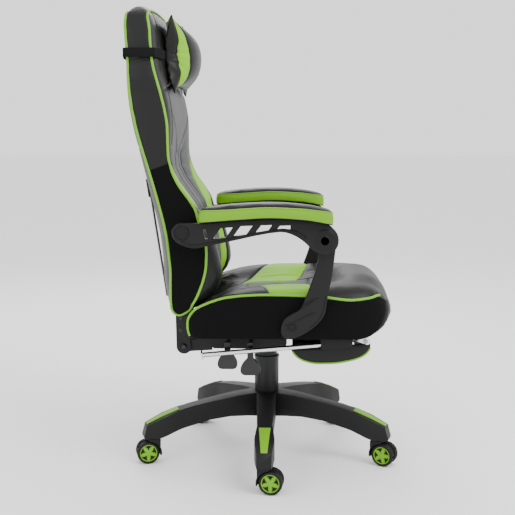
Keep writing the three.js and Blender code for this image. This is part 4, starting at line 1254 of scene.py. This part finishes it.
def linked_ring(part):
    """A made ring or cord as a piece."""
    if isinstance(part, bpy.types.Object):
        return part
    data = mesh_of(part, "ring")
    sharpen(data)
    return linked("ring", data)


# ---------------------------------------------------------------- footrest

class CHAIR_OT_footrest(bpy.types.Operator):
    """Footrest pad, board, rails and their sleeves"""
    bl_idname = "chair.footrest"
    bl_label = "Footrest"

    def execute(self, context):
        for side_name, side in SIDES:
            refined("footrest_rail_" + side_name, finish="chrome")
            refined("footrest_sleeve_" + side_name, 1.5 * MM, 2, finish="nylon_dark")
        refined("footrest_pivot_rod", finish="steel")
        refined("footrest_board", 0.8 * MM, 1, finish="paint")
        pivot = JOINTS["footrest_flip"]["pos_m"]
        slope = math.radians(5.3)
        turn = np.array([[math.cos(slope), 0, -math.sin(slope)], [0, 1, 0], [math.sin(slope), 0, math.cos(slope)]])
        curve = [(-192, 4), (-186, 18), (-174, 31), (-156, 42), (-112, 52), (-66, 52.5), (-20, 46), (5, 33), (18, 15)]
        half = 184.5 - 3

        def place(u, v, w):
            x = mixed(-190, 16, (np.sin(u * math.pi / 2) * 0.6 + u * 0.4 + 1) / 2)
            top = -9.6 - np.clip(x + 12, 0, 20) * 0.1
            depth = (through(curve, x) - 3) * (0.95 + 0.05 * (1 - np.abs(v) ** 3))
            y = v * (half - 3) * (1 - 0.03 * np.abs(u) ** 6)
            points = np.stack([x, y, mixed(top - depth, top, (w + 1) / 2)], 1) * MM
            return tuple((points @ turn.T + np.array(pivot)).T)

        def local(points):
            return (points - np.array(pivot)) @ turn / MM

        def pinned(x, y, z):
            at = local(np.stack([x, y, z], 1))
            return np.maximum(near(np.abs(at[:, 2] + 9.6), 4), near(half - 3 - np.abs(at[:, 1]), 6) * 0.7)

        piece = stuffed("footrest_cover", rounded_block("footrest_cover", 24, place), 6 * MM, 5 * MM, pinned,
                        tight=1.5)
        at = local(coordinates(piece.data))
        seam = np.abs(np.abs(at[:, 1]) - (half - 8)) + 30 * (at[:, 2] > -14)
        fields = {"seam": seam * MM}
        with_fields(piece, fields)
        dressed(piece, "footrest", "upholstery", upholstery("footrest_leather", fields),
                replaces=("footrest_cushion",))
        surface = surface_of(piece)
        parts = []
        for side in (-1, 1):
            x = mixed(-191, 17, (1 - np.cos(np.linspace(0, math.pi, 50))) / 2)
            depth = through(curve, x) * 0.95
            line = np.stack([x, np.full(50, side * (half - 2)), -9.6 - depth], 1) * MM @ turn.T + np.array(pivot)
            parts.append(cord_along("rest_cord", laid(surface, line, 1.0 * MM), 2.6 * MM))
        dressed(joined("footrest_piping", parts), "footrest", "green_trim")
        return {"FINISHED"}


# ---------------------------------------------------------------- base, casters and column

class CHAIR_OT_base(bpy.types.Operator):
    """Five-leg base and its inlays"""
    bl_idname = "chair.base"
    bl_label = "Base"

    def execute(self, context):
        def upper(edge):
            normals = sorted(face.normal.z for face in edge.link_faces)
            return normals[1] > 0.8 and abs(normals[0]) < 0.3
        refined("base_star", 6.5 * MM, 3, angle=50, choose=upper)
        for i in LEGS:
            refined(f"leg_inlay_{i}", 0.9 * MM, 2, finish="trim")
        return {"FINISHED"}


class CHAIR_OT_column(bpy.types.Operator):
    """Gas lift and its telescopic cover"""
    bl_idname = "chair.column"
    bl_label = "Column"

    def execute(self, context):
        for node, finish, edge in (
            ("column_cover", "cover", 0.6), ("column_cover_upper", "cover", 0.6), ("lift_outer_tube", "paint", 0.5),
            ("gas_cylinder", "chrome", 0.4), ("piston_rod", "chrome", 0.3), ("thrust_bearing", "steel", 0.3),
        ):
            refined(node, edge * MM, 1, finish=finish)
        return {"FINISHED"}


class CHAIR_OT_casters(bpy.types.Operator):
    """Caster hoods, treaded tyres and star rims"""
    bl_idname = "chair.casters"
    bl_label = "Casters"

    def execute(self, context):
        for i in LEGS:
            refined(f"caster_hood_{i}", 1.2 * MM, 2, finish="nylon_dark")
            refined(f"caster_axle_{i}", 0.4 * MM, 1, finish="steel")
            axle = JOINTS[f"wheel_spin_{i}"]
            centre, axis = Vector(axle["pos_m"]), Vector(axle["axis"])
            for letter, way in (("a", None), ("b", None)):
                low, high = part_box(f"caster_wheel_{i}{letter}")
                middle = (low + high) / 2
                out = axis if (middle - centre).dot(axis) > 0 else -axis
                forward = out.cross(Vector((0, 0, 1))).normalized()
                turn = Matrix((forward, out, Vector((0, 0, 1)))).transposed().to_4x4()
                turn = Matrix.Translation(centre) @ turn @ Matrix.Rotation(math.radians(18 * i), 4, "Y")
                self.wheel(i, letter, turn)
        return {"FINISHED"}

    def wheel(self, i, letter, turn):
        body = f"wheels_{i}"
        inner, outer, radius = 4.7 * MM, 23.4 * MM, 30 * MM
        profile = [(5, inner / MM), (27.5, inner / MM), (29.6, inner / MM + 1.2), (30, inner / MM + 3),
                   (30, 11), (30, 16), (29.7, 19.4), (28.2, 22), (25.6, 23.2), (24.2, 22.6), (23.7, 20), (23.7, 16.4), (5, 16.4)]
        form = bmesh.new()
        points = [form.verts.new((r * MM, h * MM, 0)) for r, h in profile]
        edges = [form.edges.new((points[k], points[(k + 1) % len(points)])) for k in range(len(points))]
        bmesh.ops.spin(form, geom=points + edges, cent=(0, 0, 0), axis=(0, 1, 0), dvec=(0, 0, 0),
                       angle=2 * math.pi, steps=60, use_merge=True, use_duplicate=False)
        bmesh.ops.recalc_face_normals(form, faces=form.faces)
        tread = [f for f in form.faces
                 if f.calc_center_median().xz.length > 29.5 * MM and 8 * MM < f.calc_center_median().y < 20 * MM]
        grooves = [f for f in tread if round(math.degrees(math.atan2(*f.calc_center_median().xz)) / 6) % 2]
        bmesh.ops.inset_individual(form, faces=grooves, thickness=0.35 * MM, depth=-1.1 * MM)
        form.transform(turn)
        data = mesh_of(form, "tyre")
        sharpen(data, 30)
        tyre = linked(f"tyre_{i}{letter}", data)
        dressed(tyre, body, "tyre", finish_of("rubber"), replaces=(f"caster_wheel_{i}{letter}",))
        rim = linked(f"rim_{i}{letter}", self.star(turn))
        dressed(rim, body, "green_trim", finish_of("trim"), finish_of("nylon_dark"), finish_of("steel"))

    def star(self, turn):
        """A disc of five spokes: the windows between them are sunk and dark."""
        form = bmesh.new()
        rings = [0.0, 5.2, 8.4, 12.6, 17.2, 20.6, 23.2]
        heights = [22.2, 22.2, 21.6, 21.2, 21.0, 21.4, 21.0]
        bmesh.ops.create_circle(form, cap_ends=True, cap_tris=True, segments=40, radius=rings[1] * MM,
                                matrix=Matrix.Rotation(-math.pi / 2, 4, "X"))
        for v in form.verts:
            v.co.y = heights[1] * MM
        for k in range(2, len(rings)):
            outline = [e for e in form.edges if e.is_boundary]
            made = bmesh.ops.extrude_edge_only(form, edges=outline)
            for v in (v for v in made["geom"] if isinstance(v, bmesh.types.BMVert)):
                flat = v.co.xz.normalized() * rings[k] * MM
                v.co = (flat.x, heights[k] * MM, flat.y)
        bmesh.ops.recalc_face_normals(form, faces=form.faces)
        if sum(f.normal.y for f in form.faces) < 0:
            bmesh.ops.reverse_faces(form, faces=form.faces)
        windows = []
        for face in form.faces:
            spot = face.calc_center_median().xz
            sector = math.degrees(math.atan2(spot.y, spot.x)) % 72
            r = spot.length / MM
            wide = 9 if r < 12.6 else 18 if r < 17.2 else 27
            if 8.4 < r < 20.6 and abs(sector - 36) < wide:
                windows.append(face)
            elif r > 20.6:
                face.material_index = 2 if r > 22 else 0
        sunk = bmesh.ops.extrude_face_region(form, geom=windows)
        moved = [v for v in sunk["geom"] if isinstance(v, bmesh.types.BMVert)]
        for face in (f for f in sunk["geom"] if isinstance(f, bmesh.types.BMFace)):
            face.material_index = 1
        bmesh.ops.translate(form, verts=moved, vec=(0, -3.2 * MM, 0))
        bmesh.ops.delete(form, geom=[f for f in windows if f.is_valid], context="FACES")
        bmesh.ops.solidify(form, geom=form.faces[:], thickness=0.6 * MM)
        edges = [e for e in form.edges if e.is_manifold and e.calc_face_angle(0) > 0.7]
        bmesh.ops.bevel(form, geom=edges, offset=0.4 * MM, affect="EDGES", segments=2, profile=0.5, material=-1)
        form.transform(turn)
        data = mesh_of(form, "rim")
        sharpen(data, 35)
        return data


# ---------------------------------------------------------------- mechanism, bracket and levers

def screws(name, places, radius, height, axis, body, finish="steel", sides=6):
    """Screw heads at (x, y, z) in metres, standing out along an axis."""
    form = bmesh.new()
    out = Vector(axis)
    for place in places:
        turn = Matrix.Translation(Vector(place) + out * height / 2) @ out.to_track_quat("Z", "X").to_matrix().to_4x4()
        bmesh.ops.create_cone(form, cap_ends=True, segments=sides, radius1=radius, radius2=radius * 0.92,
                              depth=height, matrix=turn)
        washer = Matrix.Translation(Vector(place) + out * 0.4 * MM) @ out.to_track_quat("Z", "X").to_matrix().to_4x4()
        bmesh.ops.create_cone(form, cap_ends=True, segments=24, radius1=radius * 1.5, radius2=radius * 1.45,
                              depth=0.8 * MM, matrix=washer)
    edges = [e for e in form.edges if e.calc_face_angle(0) > 0.9]
    bmesh.ops.bevel(form, geom=edges, offset=0.3 * MM, affect="EDGES", segments=1, profile=0.5, material=-1)
    data = mesh_of(form, name)
    sharpen(data)
    return dressed(linked(name, data), body, "painted_steel", finish_of(finish))


class CHAIR_OT_mechanism(bpy.types.Operator):
    """Tilt mechanism, recline bracket, pins, bolts and seat board"""
    bl_idname = "chair.mechanism"
    bl_label = "Mechanism"

    def execute(self, context):
        refined("mechanism_housing", 1.4 * MM, 2, finish="paint")
        refined("back_bracket", 1.2 * MM, 2, finish="paint")
        refined("recline_pin", 0.8 * MM, 2, finish="dark_steel")
        refined("seat_board", 0.8 * MM, 1, finish="plywood")
        for side_name, side in SIDES:
            refined("armrest_hub_pin_" + side_name, 0.6 * MM, 1, finish="steel")
        low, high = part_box("back_bracket")
        hinge = JOINTS["back_recline"]["pos_m"]
        for way, label in ((-1, "right"), (1, "left")):
            face = way * 67.6 * MM
            spots = [(hinge[0] - 8 * MM, face, hinge[2] + dz * MM) for dz in (45, 78)]
            screws("bracket_bolts_" + label, spots, 4 * MM, 3.2 * MM, (0, way, 0), "backrest", "dark_steel")
        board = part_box("seat_board")[0].z
        spots = [(x, y, board) for x in (-0.12, 0.16) for y in (-0.15, 0.15)]
        screws("board_screws", spots, 4 * MM, 2.5 * MM, (0, 0, -1), "seat")
        return {"FINISHED"}


class CHAIR_OT_levers(bpy.types.Operator):
    """Recline and height levers"""
    bl_idname = "chair.levers"
    bl_label = "Levers"

    def execute(self, context):
        for node in ("recline_lever", "height_lever"):
            refined(node, 3.4 * MM, 4, finish="gloss")
        return {"FINISHED"}


# ---------------------------------------------------------------- panel and run

OPERATORS = (
    CHAIR_OT_stage, CHAIR_OT_backrest, CHAIR_OT_seat, CHAIR_OT_pillow, CHAIR_OT_straps, CHAIR_OT_armrests,
    CHAIR_OT_footrest, CHAIR_OT_base, CHAIR_OT_column, CHAIR_OT_casters, CHAIR_OT_mechanism, CHAIR_OT_levers,
)


class CHAIR_PT_panel(bpy.types.Panel):
    """The chair's pieces, in the order in which they are made"""
    bl_label = "Gaming chair"
    bl_idname = "CHAIR_PT_panel"
    bl_space_type = "VIEW_3D"
    bl_region_type = "UI"
    bl_category = "Chair"

    def draw(self, context):
        for group in (context.scene.chair_sizes, context.scene.chair_colours):
            for name in group.__annotations__:
                self.layout.prop(group, name)
        for operator in OPERATORS:
            self.layout.operator(operator.bl_idname)


CLASSES = (ChairSizes, ChairColours, *OPERATORS, CHAIR_PT_panel)


def register():
    for item in CLASSES:
        bpy.utils.register_class(item)
    bpy.types.Scene.chair_sizes = bpy.props.PointerProperty(type=ChairSizes)
    bpy.types.Scene.chair_colours = bpy.props.PointerProperty(type=ChairColours)


def unregister():
    del bpy.types.Scene.chair_sizes
    del bpy.types.Scene.chair_colours
    for item in reversed(CLASSES):
        bpy.utils.unregister_class(item)


def main():
    register()
    for operator in OPERATORS:
        group, name = operator.bl_idname.split(".")
        getattr(getattr(bpy.ops, group), name)()


if __name__ == "__main__":
    main()
